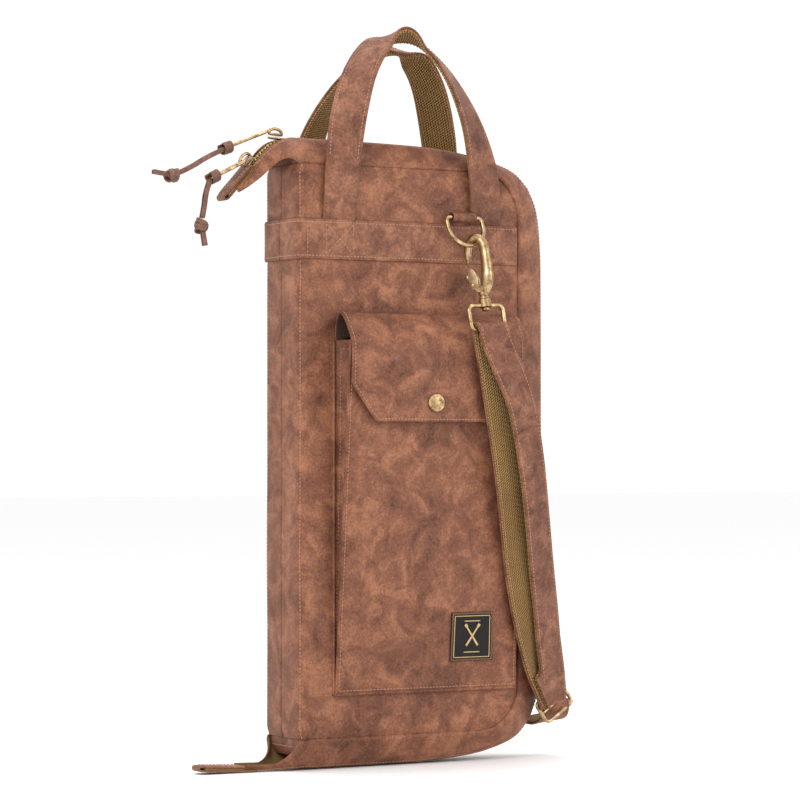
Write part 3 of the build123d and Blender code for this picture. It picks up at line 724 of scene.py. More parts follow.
SPINE_BEND = 0.0055
QUARTER = np.linspace(0, math.pi / 2, 9)[1:]
COVER_PLAN = [(LEFT, -y) for y in np.linspace(0.0, FACE - SPINE_BEND, 9)]
COVER_PLAN += [(LEFT + SPINE_BEND * (1 - math.cos(a)), -(FACE - SPINE_BEND + SPINE_BEND * math.sin(a)))
               for a in QUARTER]
COVER_START = len(COVER_PLAN)
COVER_STEPS = 52


def cover_point(z, j):
    """A point of the padded front: its leather is carried round the corner to the middle of the spine."""
    if j < COVER_START:
        x, y = COVER_PLAN[j]
    else:
        t = (j - COVER_START + 1) / (COVER_STEPS - 1)
        start = LEFT + SPINE_BEND
        x, y = start + (free_edge(z) - start) * (smoothstep(t) * 0.35 + t * 0.65), -FACE
    on_face = j >= COVER_START - 1
    edge = seam_distance(x, z) if on_face else min(z - LOW, HIGH - z)
    tuck = (1 - smoothstep(edge / 0.007)) * 0.0018
    soft = wave(x, y, z, 0.07, 0.0012) * smoothstep(edge / 0.02)
    if on_face:
        return x, y + tuck - smoothstep(edge / 0.06) * 0.0009 - soft, z
    return x + tuck + 0.0006 * math.sin(-y / FACE * math.pi * 0.5) - 0.0014 - soft * 0.5, y, z


corner_angles = np.linspace(0, math.pi / 2, 12)
cover_heights = [LOW + CORNER * (1 - math.cos(a)) for a in corner_angles]
cover_heights += list(np.linspace(LOW + CORNER, HIGH - CORNER, 46)[1:-1])
cover_heights += [HIGH - CORNER + CORNER * math.sin(a) for a in corner_angles]
COVER_GRID = grid_of(cover_point, cover_heights, range(COVER_START + COVER_STEPS - 1))
GUSSET_GRID = gusset_grid()


def cover_y(x, z):
    """How far out the front cover stands at a place on its face."""
    row = COVER_GRID[np.abs(COVER_GRID[:, -1, 2] - z).argmin(), COVER_START:]
    return float(np.interp(x, row[:, 0], row[:, 1]))


# ------------ the band round the top

# The band's plan round the corner, from the middle of the spine to the face
BAND_PLAN = [(LEFT - 0.0033, -y) for y in np.linspace(0.0, FACE - 0.006, 7)]
BAND_PLAN += [(LEFT - 0.0033 + 0.0093 * (1 - math.cos(a)), -(FACE - 0.006 + 0.0078 * math.sin(a)))
              for a in np.linspace(0, math.pi / 2, 8)[1:]]
BAND_FACE = np.linspace(LEFT + 0.012, RIGHT - 0.0012, 40)
BOX_HALF = 0.0125
BOX_INSET = 0.0042


def band_y(x, z):
    """How far out the band stands on the face: it is raised over the handles' ends."""
    raised = max(1 - smoothstep((abs(x - foot) - 0.0145) / 0.004) for foot in HANDLE_FEET)
    return cover_y(x, z) - 0.0016 - 0.0016 * raised * smoothstep((z - band_low.z) / 0.012)


def band_point(z, j):
    """A point of the band."""
    if j < len(BAND_PLAN):
        return *BAND_PLAN[j], z
    x = BAND_FACE[j - len(BAND_PLAN)]
    return x, band_y(x, z), z


BAND_GRID = grid_of(band_point, np.linspace(band_low.z, band_high.z, 9), range(len(BAND_PLAN) + 40))


def half_stitching():
    """The stitching of the front half: the zip's edge, the corner, the band and the handles' ends."""
    corner = (COVER_START - 5) / (COVER_GRID.shape[1] - 1)
    bend = (len(BAND_PLAN) - 1) / (BAND_GRID.shape[1] - 1)
    around = (-1, -1, 0)
    rows = [row_on(GUSSET_GRID, [(0.02, 0.80), (0.98, 0.80)], (0, -1, 0.3), steps=700),
            row_on(COVER_GRID, [(0.006, corner), (0.994, corner)], around, steps=200)]
    for a in (0.09, 0.91):
        rows.append(row_on(BAND_GRID, [(a, 0.0), (a, 0.988)], around, steps=160))
    rows.append(row_on(BAND_GRID, [(0.03, bend), (0.97, bend)], around, steps=40))
    low, high = band_low.z + BOX_INSET, band_high.z - BOX_INSET
    for foot in HANDLE_FEET:
        left, right = foot - BOX_HALF, foot + BOX_HALF
        for x0, z0, x1, z1 in ((left, low, left, high), (right, low, right, high),
                               (left, low, right, high), (left, high, right, low)):
            line = zip(np.linspace(x0, x1, 24), np.linspace(z0, z1, 24))
            rows.append((np.array([(x, band_y(x, z), z) for x, z in line]), (0, -1, 0)))
    return rows


# ------------ the two halves

# Distance from the middle plane and depth inside the zip's edge, across the tape
TAPE_SECTION = ((0.0104, 0.0021), (0.0088, 0.0018), (0.0072, 0.0012), (0.0050, 0.0009), (0.0028, 0.0009),
                (0.0019, 0.0010))
TAPE_GRID = [[(x + ix * depth, -y, z + iz * depth) for y, depth in TAPE_SECTION]
             for (x, z), (ix, iz) in zip(WHOLE_ZIP, ZIP_INWARD)]
# Distance over the middle plane, rise and size along one turn of the coil's filament
COIL_TURN = ((-0.0030, 0.0002, 0.75), (-0.0018, 0.0007, 1.0), (-0.0004, 0.0008, 1.15), (0.0004, 0.0002, 0.9))
COIL_LINE = even(WHOLE_ZIP + ZIP_INWARD * 0.0010, 640)


def zip_coil(side):
    """One half's share of the coil: every other turn of the filament, hooked over the middle line."""
    verts, faces = [], []
    first = 0 if side > 0 else 1
    for (x, z), (tx, tz) in zip(COIL_LINE[first::2], tangents(COIL_LINE)[first::2]):
        along, rise = np.array((tx, 0, tz)), np.array((-tz, 0, tx))
        faces += ring_faces(len(COIL_TURN), 5, len(verts))
        for y, lift, size in COIL_TURN:
            centre = np.array((x, side * y, z)) + rise * lift
            verts.extend(ring(centre, along * 0.00075 * size, rise * 0.0006 * size, 5))
    return new_piece(to_half(side, "zip_coil"), verts, faces, COIL_BRASS, closed=True)


SEWN_ROWS = half_stitching()
for side in (1, -1):
    bend = spine_bend(side)
    face = (0, -side, 0)
    cover = skin(to_half(side, "cover_leather"), flipped(COVER_GRID, side), LEATHER, face, 0.0022)
    place(cover, "bag_leather", bend=bend, replaces=[to_half(side, "panel"), to_half(side, "padding")])
    for name, grid, material, outward, thickness, slot, replaced in (
        ("gusset_leather", GUSSET_GRID, (LEATHER, TAPE), (1, -side, 0), 0.0016, "bag_leather", "gusset"),
        ("zip_tape_cloth", TAPE_GRID, TAPE, (1, 0, 0), 0.0008, "zip_tape", "zip_tape"),
        ("band_leather", BAND_GRID, STRAP_LEATHER, face, 0.0014, "bag_leather", "band"),
    ):
        made = skin(to_half(side, name), flipped(grid, side), material, outward, thickness)
        place(made, slot, bend=bend, replaces=[to_half(side, replaced)])
    place(zip_coil(side), "zip_teeth", bend=bend, replaces=[to_half(side, "zip_teeth")])
    rows = [(flipped(points, side), flipped(out, side)) for points, out in SEWN_ROWS]
    place(stitches(to_half(side, "stitching"), rows), "bag_leather", bend=bend)

# ------------ carrying handles

HANDLE_FOOT = 0.459
HANDLE_WIDE = 0.0296
# Share of the rise, share of the half width, distance from the middle plane and turn of the face, up one leg
HANDLE_LEG = [(0.0, 1.0, 0.0350, 0), (0.22, 0.965, 0.0350, 8), (0.50, 0.85, 0.0310, 28),
              (0.76, 0.63, 0.0240, 47), (0.93, 0.34, 0.0180, 62)]


def handle_line(top, offset):
    """Centres of a handle's leather and the directions that its face looks, from foot to foot."""
    half = (HANDLE_FEET[1] - HANDLE_FEET[0]) / 2
    middle = sum(HANDLE_FEET) / 2 + offset
    legs = []
    for foot, sign in zip(HANDLE_FEET, (-1, 1)):
        leg = [(foot, -0.0325, band_high.z - 0.006, 0, -1, 0), (foot, -0.0332, HANDLE_FOOT - 0.006, 0, -1, 0)]
        for share, spread, y, turn in HANDLE_LEG:
            sine, cosine = math.sin(math.radians(turn)), math.cos(math.radians(turn))
            leg.append((middle + sign * spread * half - offset * spread, -y,
                        HANDLE_FOOT + share * (top - HANDLE_FOOT), sign * sine, -cosine, sine * 0.5))
        legs.append(leg)
    fine = smooth_line(legs[0] + [(middle, -0.0162, top, 0.0, 0.30, 1.0)] + legs[1][::-1], 90)
    return fine[:, :3], unit(fine[:, 3:])


for side, name, offset in ((1, "front_handle", -0.0040), (-1, "back_handle", 0.0150)):
    centres, faces = handle_line(span(name)[1].z - 0.0040, offset)
    start, end = Vector((0, -0.033 * side, 0.4500)), Vector((0, -0.036 * side, 0.4760))
    bend = (to_half(side, "half"), name, start, end)
    out = strap_frames(centres, faces)[1]
    leather_line, webbing_line = centres - out * 0.0010, centres - out * 0.0030
    outer = strap(name + "_leather", flipped(leather_line, side), flipped(out, side), HANDLE_WIDE, 0.0020,
                  STRAP_LEATHER)
    place(outer, "strap_leather", bend=bend, replaces=[name, to_half(side, "handle_ends")])
    inner = strap(name + "_webbing_strap", flipped(webbing_line, side), flipped(out, side),
                  HANDLE_WIDE - 0.0016, 0.0020, WEBBING, crown=0.05)
    place(inner, "webbing", bend=bend, replaces=[name + "_webbing"])
    sewn = edge_stitches((leather_line[4:-4], webbing_line[4:-4]), out[4:-4], 0.0118, (0.00105, -0.00100))
    rows = [(flipped(points, side), flipped(away, side)) for points, away in sewn]
    place(stitches(name + "_stitching", rows), "strap_leather", bend=bend)

# ------------ front pocket

pocket_low, pocket_high = span("pocket_front")
P_LEFT, P_RIGHT, P_LOW, P_HIGH = pocket_low.x, pocket_high.x, pocket_low.z, pocket_high.z
P_WIDE, P_TALL = P_RIGHT - P_LEFT, P_HIGH - P_LOW
POCKET_FOOT, POCKET_LEFT_OUT, POCKET_RIGHT_OUT = 0.034, 0.059, 0.044
SEAM_INSET = 0.0032


def pocket_out(x, z):
    """How far the pocket's front stands out at a place on it."""
    s, t = (x - P_LEFT) / P_WIDE, (z - P_LOW) / P_TALL
    rim = POCKET_LEFT_OUT * (1 - s) + POCKET_RIGHT_OUT * s
    bulge = math.sin(math.pi * min(max(s, 0), 1))
    belly = 0.0022 * bulge * math.sin(math.pi * min(max(t, 0), 1))
    return POCKET_FOOT + (rim - POCKET_FOOT) * t + belly + wave(x, 0.3, z, 0.06, 0.0011) * bulge


def pocket_point(z, s):
    """A point of the pocket's front, which is tucked in a little at its seams."""
    x = P_LEFT + P_WIDE * s
    edge = min(x - P_LEFT, P_RIGHT - x, (z - P_LOW) * 1.2)
    return x, 0.0009 * (1 - smoothstep(edge / 0.004)) - pocket_out(x, z), z


pocket_grid = grid_of(pocket_point, np.linspace(P_LOW, P_HIGH, 60), np.linspace(0, 1, 44))
pocket = skin("pocket_front_leather", pocket_grid, (LEATHER, SUEDE), (0, -1, 0), 0.0018)
place(pocket, "bag_leather", "front_half", replaces=["pocket_front"])
b0, a0 = SEAM_INSET / P_WIDE, SEAM_INSET / P_TALL
route = [(0.97, b0), (a0, b0), (a0, 1 - b0), (0.97, 1 - b0)]
pocket_rows = [row_on(pocket_grid, route, (0, -1, 0), steps=120)]

# Side walls: folded in a little, with raised sewn edges along the panel and the front
walls = []
for wall_x, sign, rim in ((P_LEFT, 1, POCKET_LEFT_OUT), (P_RIGHT, -1, POCKET_RIGHT_OUT)):

    def wall_point(z, s):
        """A point of the wall, s of the way from the panel to the pocket's front."""
        t = (z - P_LOW) / P_TALL
        wide = POCKET_FOOT + (rim - POCKET_FOOT) * t - 0.0006 - (FACE - 0.0008)
        fold = math.sin(math.pi * s) ** 0.6 * min(0.0100, wide * 0.45)
        ridge = 0.0016 * (math.exp(-((s - 0.06) / 0.08) ** 2) + math.exp(-((s - 0.96) / 0.05) ** 2))
        return wall_x + sign * (0.0010 + fold - ridge), -(FACE - 0.0008 + wide * s), z

    wall = grid_of(wall_point, np.linspace(P_LOW + 0.0005, P_HIGH, 50), np.linspace(0, 1, 19))
    walls.append(skin("pocket_wall", wall, LEATHER, (-sign, 0, 0), 0.0014))
    for route, steps in (([(0.04, 0.13), (0.985, 0.13)], 120), ([(0.04, 0.87), (0.985, 0.87)], 120),
                         ([(0.972, 0.14), (0.972, 0.86)], 20)):
        pocket_rows.append(row_on(wall, route, (-sign, 0, 0), steps))
place(joined("pocket_walls", walls), "bag_leather", "front_half", replaces=["pocket_gusset"])

# The lip of leather along the pocket's sides and foot, where it is sewn to the panel
hem_heights, hem_places = np.linspace(P_LOW - 0.0005, P_HIGH - 0.002, 40), np.linspace(P_LEFT, P_RIGHT, 40)
hems = []
for line, radius in (([(P_LEFT + 0.0002, -FACE - 0.0012, z) for z in hem_heights], 0.0013),
                     ([(P_RIGHT - 0.0002, -FACE - 0.0012, z) for z in hem_heights], 0.0013),
                     ([(x, -FACE - 0.0018, P_LOW + 0.0003) for x in hem_places], 0.0016)):
    hems.append(tube("pocket_hem", line, radius, LEATHER, sides=8))
place(joined("pocket_hems", hems), "bag_leather", "front_half")

# ------------ pocket flap

# The flap's section at its left and right edges, from where it is sewn to the panel, over the fold and down
FLAP_LEFT = [(0.0318, 0.3490), (0.0322, 0.3560), (0.0345, 0.3645), (0.0400, 0.3695), (0.0470, 0.3662),
             (0.0545, 0.3570), (0.0605, 0.3470), (0.0618, 0.3380), (0.0605, 0.3150), (0.0590, 0.2815)]
FLAP_RIGHT = [(0.0318, 0.3490), (0.0322, 0.3560), (0.0335, 0.3630), (0.0370, 0.3695), (0.0410, 0.3670),
              (0.0450, 0.3590), (0.0478, 0.3490), (0.0483, 0.3380), (0.0478, 0.3150), (0.0472, 0.2815)]
FLAP_ROWS = 56
CHAMFER_X, CHAMFER_Z = 0.0245, 0.030
flap_foot = span("pocket_flap")[0].z
flap_lines = smooth_line(FLAP_LEFT, FLAP_ROWS), smooth_line(FLAP_RIGHT, FLAP_ROWS)
FLAP_BEND = ("front_half", "pocket_flap", Vector((0, -0.0335, 0.360)), Vector((0, -0.0435, 0.360)))


def flap_point(i, s):
    """A point of the flap: its free corners are cut off, and the snap pulls it in."""
    (y0, z0), (y1, z1) = (line[i] for line in flap_lines)
    hangs = y0 > 0.045
    cut = max(0.0, 1 - ((z0 + z1) / 2 - flap_foot) / CHAMFER_Z) if hangs else 0.0
    left_x, right_x = P_LEFT + 0.0002 + CHAMFER_X * cut, P_RIGHT - 0.0002 - CHAMFER_X * cut
    x = left_x + (right_x - left_x) * s
    t = (x - P_LEFT) / P_WIDE
    y, z = y0 + (y1 - y0) * t, z0 + (z1 - z0) * t
    soft = wave(x, 0.7, z, 0.05, 0.0010) * smoothstep((y - 0.034) / 0.01)
    belly = 0.0030 * math.sin(math.pi * t) * smoothstep((0.365 - z) / 0.03) if hangs else 0.0
    snap_pull = 0.0016 * math.exp(-(((x + 0.007) / 0.02) ** 2) - ((z - 0.297) / 0.014) ** 2)
    return x, -(y + soft + belly - snap_pull), z


def off_flap(p):
    """The outward direction of the flap: up over its fold, forwards below it."""
    return (0, -1, 0.4) if p[2] < 0.362 or p[1] < -0.045 else (0, -0.2, 1)


flap_grid = grid_of(flap_point, range(FLAP_ROWS), np.linspace(0, 1, 44))
flap = skin("pocket_flap_leather", flap_grid, (LEATHER, SUEDE), (0, 0, 1), 0.0018)
place(flap, "bag_leather", bend=FLAP_BEND, replaces=["pocket_flap", "flap_root"])
last = FLAP_ROWS - 1
cut_row = next(i for i in range(31, FLAP_ROWS) if flap_grid[i, 0, 2] < flap_foot + CHAMFER_Z) / last
inset = SEAM_INSET / 0.17
route = [(0.16, inset), (cut_row, inset), (0.982, inset * 1.3)]
route += [(a, 1 - b) for a, b in route[::-1]]
flap_sewn = stitches("flap_stitching", [row_on(flap_grid, route, off_flap, steps=90)])
place(flap_sewn, "bag_leather", bend=FLAP_BEND)
place(stitches("pocket_stitching", pocket_rows), "bag_leather", "front_half")

# The snap's domed cap, with a plain raised ring and rays
SNAP_DOME = [(0.0072, -0.0016), (0.0076, -0.0008), (0.0076, 0.0002), (0.0071, 0.0010), (0.0064, 0.0013),
             (0.0060, 0.0011), (0.0055, 0.0012), (0.0040, 0.0018), (0.0020, 0.0021), (0.0004, 0.0022)]
SNAP_RAY = ((0.0022, 0.0021), (0.0034, 0.00185), (0.0048, 0.00150))
snap_middle = centre_of("snap_button")
snap_middle.y = -0.0572
snap_up = Vector((-0.06, -1, 0.05)).normalized()
cap = [turned("snap_cap_dome", SNAP_DOME, snap_middle, snap_up)]
for angle in np.radians(np.arange(0, 360, 30)):
    way = snap_up.to_track_quat("Z", "Y").to_matrix() @ Vector((math.cos(angle), math.sin(angle), 0))
    ray = in_frame(snap_middle, way, snap_up, SNAP_RAY)
    cap.append(tube("snap_ray", ray, [0.0002, 0.00035, 0.0002], BRASS, sides=6))
place(joined("snap_cap", cap), "antique_brass", "pocket_flap", replaces=["snap_button"])

# ------------ label

PATCH = 0.040
FRAME_AT = PATCH / 2 - 0.0030
ZIGZAG_AT = PATCH / 2 - 0.0009
ZIGZAG_TEETH = 26
label_middle = centre_of("label_patch")


def on_pocket(u, v, lift):
    """A point on the label, u across and v up from its middle, in metres."""
    x, z = label_middle.x + u, label_middle.z + v
    return x, -pocket_out(x, z) - lift, z


def woven_shape(name, material, half_u, half_v, lift, thick, at, turn=0.0, steps=14, taper=0.0):
    """A small woven shape lying on the pocket, as a thin slab."""

    def point(v, u):
        """A point of the shape by its own axes."""
        narrow = 1 - taper * (v / half_v * 0.5 + 0.5)
        x = u * narrow * math.cos(turn) - v * math.sin(turn) + at[0]
        return on_pocket(x, u * narrow * math.sin(turn) + v * math.cos(turn) + at[1], lift)

    grid = grid_of(point, np.linspace(-half_v, half_v, steps), np.linspace(-half_u, half_u, steps))
    return skin(name, grid, material, (0, -1, 0), thick, levels=0)


def gold_mark(half_u, half_v, lift, at, **more):
    """A mark in gold thread on the label."""
    return woven_shape("label_gold", GOLD_THREAD, half_u, half_v, lift, 0.0004, at, **more)


label = woven_shape("label_cloth", LABEL_CLOTH, PATCH / 2, PATCH / 2, 0.0014, 0.0013, (0, 0), steps=20)
place(label, "label", "front_half", replaces=["label_patch"])
# The gold border, two crossed drum sticks with their tips, and a rule above and below them
gold = [gold_mark(FRAME_AT, 0.00028, 0.00165, (0, v)) for v in (FRAME_AT, -FRAME_AT)]
gold += [gold_mark(0.00028, FRAME_AT, 0.00165, (u, 0)) for u in (FRAME_AT, -FRAME_AT)]
for turn, lift in ((0.62, 0.00175), (-0.62, 0.00205)):
    gold.append(gold_mark(0.00085, 0.0098, lift, (0, 0.0005), turn=turn, taper=0.35))
    tip = (-math.sin(turn) * 0.0104, math.cos(turn) * 0.0104 + 0.0005)
    gold.append(gold_mark(0.00115, 0.0015, 0.0020, tip, turn=turn, steps=6))
gold += [gold_mark(0.0075, 0.00035, 0.0017, (0, v), steps=8) for v in (-0.0128, 0.0128)]
place(joined("label_emblem", gold), "label", "front_half")
# A zigzag of thread round the label's edge
zigzag = []
for quarter in range(4):
    turn = math.radians(90 * quarter)
    along, outer = Vector((math.cos(turn), math.sin(turn))), Vector((math.sin(turn), -math.cos(turn)))
    edge = np.linspace(-ZIGZAG_AT, ZIGZAG_AT, ZIGZAG_TEETH + 1)
    spots = [along * s + outer * (ZIGZAG_AT + 0.0007 * (-1) ** k) for k, s in enumerate(edge)]
    tooth = [on_pocket(*spot, 0.0016) for spot in spots]
    zigzag += [(np.array(pair), (0, -1, 0)) for pair in zip(tooth, tooth[1:])]
label_sewn = stitches("label_stitching", zigzag, pitch=0.0017, length=0.0019, radius=0.00024)
place(label_sewn, "label", "front_half")

# ------------ shoulder strap

# Middle line of the strap and the way its leather looks: up the front, over the eye's bar and down the back
EYE_BAR = HOOK_BASE - HOOK_UP * 0.0230
LOOP = 0.0039
STRAP_WIDE = 0.0288
STRAP_ROUTE = [
    ((0.1238, -0.0262, 0.0440), (0.10, -1, 0.1)),
    ((0.1225, -0.0300, 0.0560), (0.20, -1, 0)),
    ((0.1195, -0.0330, 0.0740), (0.26, -1, 0)),
    ((0.1150, -0.0352, 0.0930), (0.27, -1, 0)),
    ((0.1095, -0.0388, 0.1250), (0.27, -1, 0)),
    ((0.1020, -0.0440, 0.1600), (0.27, -1, 0)),
    ((0.0915, -0.0535, 0.2050), (0.27, -1, 0)),
    ((0.0805, -0.0620, 0.2500), (0.22, -1, 0)),
    ((0.0675, -0.0670, 0.2970), (0.15, -1, 0)),
    ((0.0518, -0.0681, 0.3300), (0.05, -1, 0)),
    ((0.0440, EYE_BAR.y - LOOP - 0.0006, EYE_BAR.z - 0.0100), (0.0, -1, 0)),
    ((0.0418, EYE_BAR.y - LOOP, EYE_BAR.z - 0.0010), (0.0, -1, 0.1)),
    ((0.0405, EYE_BAR.y - LOOP * 0.7, EYE_BAR.z + LOOP * 0.7), (-0.03, -0.7, 0.7)),
    ((0.0402, EYE_BAR.y, EYE_BAR.z + LOOP), (-0.04, 0.0, 1)),
    ((0.0402, EYE_BAR.y + LOOP * 0.7, EYE_BAR.z + LOOP * 0.7), (-0.03, 0.7, 0.7)),
    ((0.0408, EYE_BAR.y + LOOP, EYE_BAR.z - 0.0010), (0.0, 1, 0.1)),
    ((0.0420, EYE_BAR.y + LOOP * 0.8, EYE_BAR.z - 0.0110), (0.0, 1, 0)),
    ((0.0450, -0.0609, 0.3280), (0.0, 1, 0)),
    ((0.0516, -0.0589, 0.2970), (-0.05, 1, 0)),
    ((0.0612, -0.0559, 0.2500), (-0.12, 1, 0)),
    ((0.0712, -0.0489, 0.2050), (-0.16, 1, 0)),
    ((0.0803, -0.0424, 0.1600), (-0.18, 1, 0)),
    ((0.0890, -0.0386, 0.1220), (-0.28, 1, 0)),
    ((0.1000, -0.0330, 0.0840), (-0.60, 1, 0)),
    ((0.1090, -0.0285, 0.0640), (-0.95, 1, 0)),
    ((0.1180, -0.0240, 0.0480), (-1.3, 1, 0)),
]
# Below the adjuster: a turn under the bar, then back round the bag's corner
TAIL_ROUTE = [
    ((0.1262, -0.0262, 0.0480), (-0.15, -1, 0.1)),
    ((0.1270, -0.0255, 0.0410), (-0.15, -1, -0.1)),
    ((0.1278, -0.0230, 0.0350), (0.0, -0.9, -0.5)),
    ((0.1280, -0.0170, 0.0312), (0.1, -0.4, -1)),
    ((0.1276, -0.0080, 0.0302), (0.2, 0, -1)),
    ((0.1266, 0.0020, 0.0305), (0.2, 0, -1)),
    ((0.1252, 0.0110, 0.0315), (0.1, 0.1, -1)),
]
STRAP_BEND = ("strap_hanger", "front_half", Vector((0, 0, 0.235)), Vector((0, 0, 0.085)))


def strap_line(route, count):
    """Middle line and outward directions of a strap through a route of (place, direction looked)."""
    path = smooth_line([place + face for place, face in route], count)
    return path[:, :3], strap_frames(path[:, :3], unit(path[:, 3:]))[1]


centres, out = strap_line(STRAP_ROUTE, 220)
leather_line, webbing_line = centres + out * 0.0009, centres - out * 0.0010
place(strap("shoulder_strap_leather", leather_line, out, STRAP_WIDE, 0.0018, STRAP_LEATHER), "strap_leather",
      bend=STRAP_BEND,
      replaces=["strap_front_upper", "strap_back_upper", "strap_front_lower", "strap_back_lower"])
place(strap("shoulder_strap_webbing", webbing_line, out, STRAP_WIDE - 0.0012, 0.0017, WEBBING, crown=0.05),
      "webbing", bend=STRAP_BEND)
sewn = edge_stitches((leather_line, webbing_line), out, 0.0120, (0.00095, -0.0009))
place(stitches("shoulder_strap_stitching", sewn), "strap_leather", bend=STRAP_BEND)

# The folded end that is sewn back on itself above the adjuster
back = -out[-24:]
fold_line = centres[-24:] + back * np.linspace(0.0052, 0.0040, 24)[:, None]
fold = [strap("fold", fold_line - back * 0.0009, back, 0.0262, 0.0018, WEBBING),
        strap("fold", fold_line + back * 0.0009, back, 0.0270, 0.0018, STRAP_LEATHER)]
place(joined("strap_folded_end", fold), "strap_leather", "front_half")

centres, out = strap_line(TAIL_ROUTE, 70)
tail = [strap("tail", centres + out * 0.0006, out, 0.0265, 0.0013, STRAP_LEATHER),
        strap("tail", centres - out * 0.0007, out, 0.0255, 0.0012, WEBBING, crown=0.05)]
place(joined("strap_tail_leather", tail), "strap_leather", "front_half", replaces=["strap_tail"])

# The slide adjuster: a rounded frame of brass wire with a middle bar
across = Vector((0.86, 0.2, 0.47)).normalized()
normal = across.cross(Vector((-0.3, 0.25, 0.9))).normalized()
middle = centre_of("adjuster") + Vector((-0.0065, -0.0070, 0.0025))
loop = in_frame(middle, across, normal.cross(across), rounded_loop(0.0171, 0.0091, 0.0038))
bar = [middle + across * u for u in np.linspace(-0.0168, 0.0168, 9)]
parts = [tube("loop", loop, 0.0016, BRASS, sides=12, normal=normal, closed=True),
         tube("bar", bar, 0.0013, BRASS, sides=12, normal=normal)]
place(joined("slide_adjuster", parts), "antique_brass", "front_half", replaces=["adjuster"])

# ------------ D-ring tab and snap hook

tab_low, tab_high = span("d_ring_tab")
RING_Y, RING_Z = -0.0382, 0.4500
TAB_FOOT, TAB_SEWN = 0.4165, 0.4405
tab_line = [(-FACE - 0.0012, 0.4325), (-FACE - 0.0022, 0.4440), (RING_Y + 0.0030, RING_Z - 0.0042),
            (RING_Y, RING_Z - 0.0040)]
tab_line += [(RING_Y - 0.0040 * math.sin(a), RING_Z - 0.0040 * math.cos(a))
             for a in np.linspace(0.4, math.pi - 0.3, 9)]
tab_line += [(RING_Y + 0.0020, RING_Z + 0.0044), (-FACE - 0.0020, RING_Z + 0.0030),
             (-FACE - 0.0012, RING_Z - 0.004)]
tab_x = np.linspace(tab_low.x - 0.0022, tab_high.x + 0.0022, 7)
tab_grid = [[(x, y, z) for x in tab_x] for y, z in smooth_line(tab_line, 46)]
tab = skin("d_ring_tab_leather", tab_grid, STRAP_LEATHER, (0, -1, 0), 0.0016)
place(tab, "strap_leather", "front_half", replaces=["d_ring_tab"])
rows = []
for x0, x1, z1 in ((tab_low.x + 0.0015, tab_low.x + 0.0015, TAB_SEWN),
                   (tab_high.x - 0.0015, tab_high.x - 0.0015, TAB_SEWN),
                   (tab_low.x + 0.001, tab_high.x - 0.001, TAB_FOOT)):
    line = zip(np.linspace(x0, x1, 12), np.linspace(TAB_FOOT, z1, 12))
    rows.append((np.array([(x, cover_y(x, z) - 0.0017, z) for x, z in line]), (0, -1, 0)))
place(stitches("d_ring_tab_stitching", rows), "strap_leather", "front_half")

# In millimetres: across, up and radius along the hook's body from its collar over the bend to its nose
HOOK_SHAPE = [(0.8, 8.0, 4.0), (2.6, 11.0, 4.7), (4.6, 15.5, 5.3), (5.9, 21.0, 5.4), (6.4, 28.0, 4.9),
              (6.6, 36.0, 4.5), (6.3, 45.0, 4.4), (4.2, 51.0, 4.4), (-0.8, 53.8, 4.3), (-5.6, 51.4, 4.0),
              (-8.2, 46.6, 3.5), (-9.3, 40.0, 2.8), (-9.9, 35.0, 1.8), (-10.2, 31.2, 0.5)]
COLLAR = [(1.9, -4.9), (1.9, 1.8), (3.6, 1.9), (4.3, 2.2), (4.3, 4.0), (3.5, 4.5), (3.5, 5.4), (4.2, 5.9),
          (4.3, 8.2), (3.2, 9.8)]
SWIVEL_HEAD = [(1.9, -4.9), (3.0, -5.0), (3.2, -5.4), (3.2, -6.9), (2.7, -7.5), (0.6, -7.6)]
GATE_OUTLINE = [(-8.6, 11.0), (-4.0, 11.0), (-2.2, 15.0), (-2.2, 20.0), (-3.4, 25.0), (-5.6, 28.6),
                (-8.8, 30.4), (-11.4, 30.0), (-12.6, 26.5), (-13.4, 23.2), (-12.4, 20.5), (-11.0, 16.0)]
RIVET = [(2.1, 0.0), (2.0, 0.7), (1.4, 1.2), (0.3, 1.4)]
HOOK_ACROSS = HOOK_UP.cross(HOOK_NORMAL).normalized()


def on_hook(u, v, w=0.0):
    """A point by the hook's own axes: across it, up it and off its plane, in millimetres."""
    return HOOK_BASE + (HOOK_ACROSS * u + HOOK_UP * v + HOOK_NORMAL * w) * MM


def turned_mm(name, profile, centre, axis, steps=40):
    """A round brass piece from a profile in millimetres."""
    return turned(name, np.array(profile) * MM, centre, axis, steps)


fine = smooth_line(HOOK_SHAPE, 70)
body = tube("hook", [on_hook(u, v) for u, v, _ in fine], fine[:, 2] * MM, BRASS, sides=20, flat=0.86,
            normal=HOOK_NORMAL)
ends = [turned_mm("end", profile, HOOK_BASE, HOOK_UP) for profile in (COLLAR, SWIVEL_HEAD)]
place(joined("snap_hook_body", [body, *ends]), "antique_brass", "snap_hook", replaces=["snap_hook"])

# The thumb gate: a plate with a raised thumb ridge, and the rivet's two heads
gate_faces = [[on_hook(u, v, w) for u, v in GATE_OUTLINE] for w in (-2.2, 2.2)]
plate = slab(*gate_faces, 0.0006, 3)
ridge = tube("gate_ridge", [on_hook(-12.0, 23.2, w) for w in np.linspace(-2.3, 2.3, 7)], 0.0015, BRASS,
             normal=HOOK_UP)
place(joined("thumb_gate", [plate, ridge]), "antique_brass", "hook_gate", replaces=["hook_gate"])
rivets = [turned_mm("rivet", RIVET, on_hook(-6.9, 14.9, 4.0 * way), HOOK_NORMAL * way, 24) for way in (1, -1)]
place(joined("gate_rivet", rivets), "antique_brass", "snap_hook")

# ------------ zip tails and the spine's ends

TAB_WIDE = 0.0185
TAB_GAP = 0.0016


